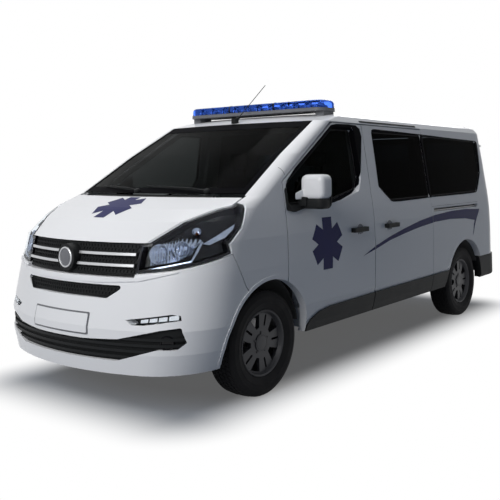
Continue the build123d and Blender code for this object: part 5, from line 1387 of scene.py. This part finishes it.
class VAN_OT_stage(bpy.types.Operator):
    """Puts up the floor, the lights and the camera"""

    bl_idname = "van.stage"
    bl_label = "Stage"

    LAMPS = (
        # name, place, aim, size, power, colour
        ("key", (8.0, 1.0, 4.8), (1.2, 0.0, 0.8), 4.0, 440.0, (1.0, 0.99, 0.97)),
        ("top", (-0.6, -0.7, 6.5), (-0.6, 0.0, 1.5), 5.0, 150.0, (1.0, 1.0, 1.0)),
        ("side", (1.5, 8.0, 3.0), (0.0, 0.0, 1.0), 5.0, 7.0, (0.42, 0.64, 1.0)),
        ("back", (-8.0, -4.0, 4.0), (-1.0, 0.0, 1.0), 5.0, 300.0, (1.0, 1.0, 1.0)),
    )
    WHITE = (1.0, 1.0, 1.0, 1.0)
    SKY, SKY_STRENGTH = (0.45, 0.68, 1.0, 1.0), 0.05
    # The patch of floor with painted shade round the van, a dark blue-grey that also holds the lamps' real shadow: half
    # its size, the width of its soft edge, and the glow within it
    SHADE_HALF, SHADE_EDGE, SHADE_GLOW = (2.1, 0.70, 0.0), 0.60, 0.10
    SENSOR = 36.0

    def execute(self, context):
        stage = context.scene.van_stage
        scene = context.scene
        scene.view_settings.view_transform = "Standard"
        world = bpy.data.worlds.new("studio")
        scene.world = world
        world.use_nodes = True
        tree = world.node_tree
        tree.nodes.clear()
        soft = add_node(tree, "ShaderNodeBackground", {"Color": self.SKY, "Strength": self.SKY_STRENGTH})
        white = add_node(tree, "ShaderNodeBackground", {"Color": self.WHITE, "Strength": 1.0})
        mix = add_node(tree, "ShaderNodeMixShader", {"Fac": self.seen(tree), 1: soft.outputs[0], 2: white.outputs[0]})
        add_node(tree, "ShaderNodeOutputWorld", {"Surface": mix.outputs[0]})
        self.floor()
        for lamp in self.LAMPS:
            self.lamp(*lamp)
        camera = bpy.data.objects.new("camera", bpy.data.cameras.new("camera"))
        scene.collection.objects.link(camera)
        ahead = Vector((math.cos(stage.yaw) * math.cos(stage.pitch), math.sin(stage.yaw) * math.cos(stage.pitch),
                        math.sin(stage.pitch)))
        level = Vector((math.sin(stage.yaw), -math.cos(stage.yaw), 0.0))
        upward = level.cross(ahead)
        right = level * math.cos(stage.roll) + upward * math.sin(stage.roll)
        up = upward * math.cos(stage.roll) - level * math.sin(stage.roll)
        turn = Matrix((right, up, -ahead)).transposed()
        camera.matrix_world = Matrix.Translation(Vector(stage.place)) @ turn.to_4x4()
        camera.data.sensor_width = self.SENSOR
        camera.data.lens = self.SENSOR * stage.focal
        camera.data.shift_x, camera.data.shift_y = stage.shift
        camera.data.clip_end = 200.0
        scene.camera = camera
        return {"FINISHED"}

    def seen(self, tree):
        """1 for what the camera, a mirror or a pane shows, 0 for light that falls on the van."""
        path = tree.nodes.new("ShaderNodeLightPath").outputs
        shown = path["Is Camera Ray"]
        for ray in ("Is Glossy Ray", "Is Transmission Ray"):
            shown = add_node(tree, "ShaderNodeMath", {0: shown, 1: path[ray]}, operation="MAXIMUM").outputs[0]
        return shown

    def floor(self):
        """A white floor with painted shade, a dark blue-grey patch round the van, that also holds the van's real
        shadow.
        """
        build = bmesh.new()
        bmesh.ops.create_circle(build, cap_ends=True, segments=96, radius=40.0)
        floor = object_of("floor", build)
        # Painted shade: the floor's own colour is a dark blue-grey, so round the van, where the white glow fades out,
        # the floor is darker even where lit, as well as holding the real cast shadow
        material = finish("studio_floor", (0.20, 0.23, 0.28), 0.9, shade=0.004, gloss_level=0.0)
        tree = material.node_tree
        glow = add_node(tree, "ShaderNodeEmission", {"Color": self.WHITE})
        reach = tree.nodes.new("ShaderNodeTexCoord").outputs["Object"]
        for operation, value in (("ABSOLUTE", None), ("SUBTRACT", self.SHADE_HALF), ("MAXIMUM", (0.0, 0.0, 0.0)),
                                 ("LENGTH", None)):
            step = add_node(tree, "ShaderNodeVectorMath", {0: reach}, operation=operation)
            if value:
                step.inputs[1].default_value = value
            reach = next(socket for socket in step.outputs if socket.enabled)
        fade = add_node(tree, "ShaderNodeMapRange", {"Value": reach, "From Min": 0.0, "From Max": self.SHADE_EDGE,
                                                     "To Min": self.SHADE_GLOW}, interpolation_type="SMOOTHSTEP")
        both = add_node(tree, "ShaderNodeMath", {0: fade.outputs["Result"], 1: self.seen(tree)}, operation="MULTIPLY")
        mix = add_node(tree, "ShaderNodeMixShader", {"Fac": both.outputs[0], 1: shader_of(material).outputs[0],
                                                     2: glow.outputs[0]})
        tree.links.new(mix.outputs[0], tree.nodes["Material Output"].inputs["Surface"])
        floor.data.materials.append(material)

    def lamp(self, name, place, aim, size, power, colour):
        """A square lamp that faces a point."""
        light = bpy.data.lights.new(name, "AREA")
        light.size = size
        light.energy = power
        light.color = colour
        lamp = bpy.data.objects.new(name, light)
        bpy.context.scene.collection.objects.link(lamp)
        lamp.location = place
        lamp.rotation_euler = (Vector(aim) - Vector(place)).to_track_quat("-Z", "Y").to_euler()


class VAN_PT_panel(bpy.types.Panel):
    """Lists the van's colours, sizes, camera and operators"""

    bl_idname = "VAN_PT_panel"
    bl_label = "Ambulance van"
    bl_space_type = "VIEW_3D"
    bl_region_type = "UI"
    bl_category = "Van"

    def draw(self, context):
        for group in (context.scene.van_colours, context.scene.van_sizes, context.scene.van_stage):
            for key in group.bl_rna.properties.keys():
                if key not in {"rna_type", "name"}:
                    self.layout.prop(group, key)
        for operator in OPERATORS:
            self.layout.operator(operator.bl_idname)


GROUPS = (VanColours, VanSizes, VanStage)
OPERATORS = (
    VAN_OT_finishes,
    VAN_OT_livery,
    VAN_OT_glazing,
    VAN_OT_mirrors,
    VAN_OT_headlamps,
    VAN_OT_nose,
    VAN_OT_wheels,
    VAN_OT_side_trim,
    VAN_OT_roof,
    VAN_OT_tail,
    VAN_OT_cab,
    VAN_OT_patient_bay,
    VAN_OT_stage,
)


def register():
    """Registers the classes and hangs the groups on the scene."""
    for item in GROUPS + OPERATORS + (VAN_PT_panel,):
        bpy.utils.register_class(item)
    bpy.types.Scene.van_colours = PointerProperty(type=VanColours)
    bpy.types.Scene.van_sizes = PointerProperty(type=VanSizes)
    bpy.types.Scene.van_stage = PointerProperty(type=VanStage)


def unregister():
    """Undoes register."""
    del bpy.types.Scene.van_stage
    del bpy.types.Scene.van_sizes
    del bpy.types.Scene.van_colours
    for item in reversed(GROUPS + OPERATORS + (VAN_PT_panel,)):
        bpy.utils.unregister_class(item)


def main():
    """Runs every operator in order."""
    register()
    for operator in OPERATORS:
        group, name = operator.bl_idname.split(".")
        getattr(getattr(bpy.ops, group), name)()


if __name__ == "__main__":
    main()
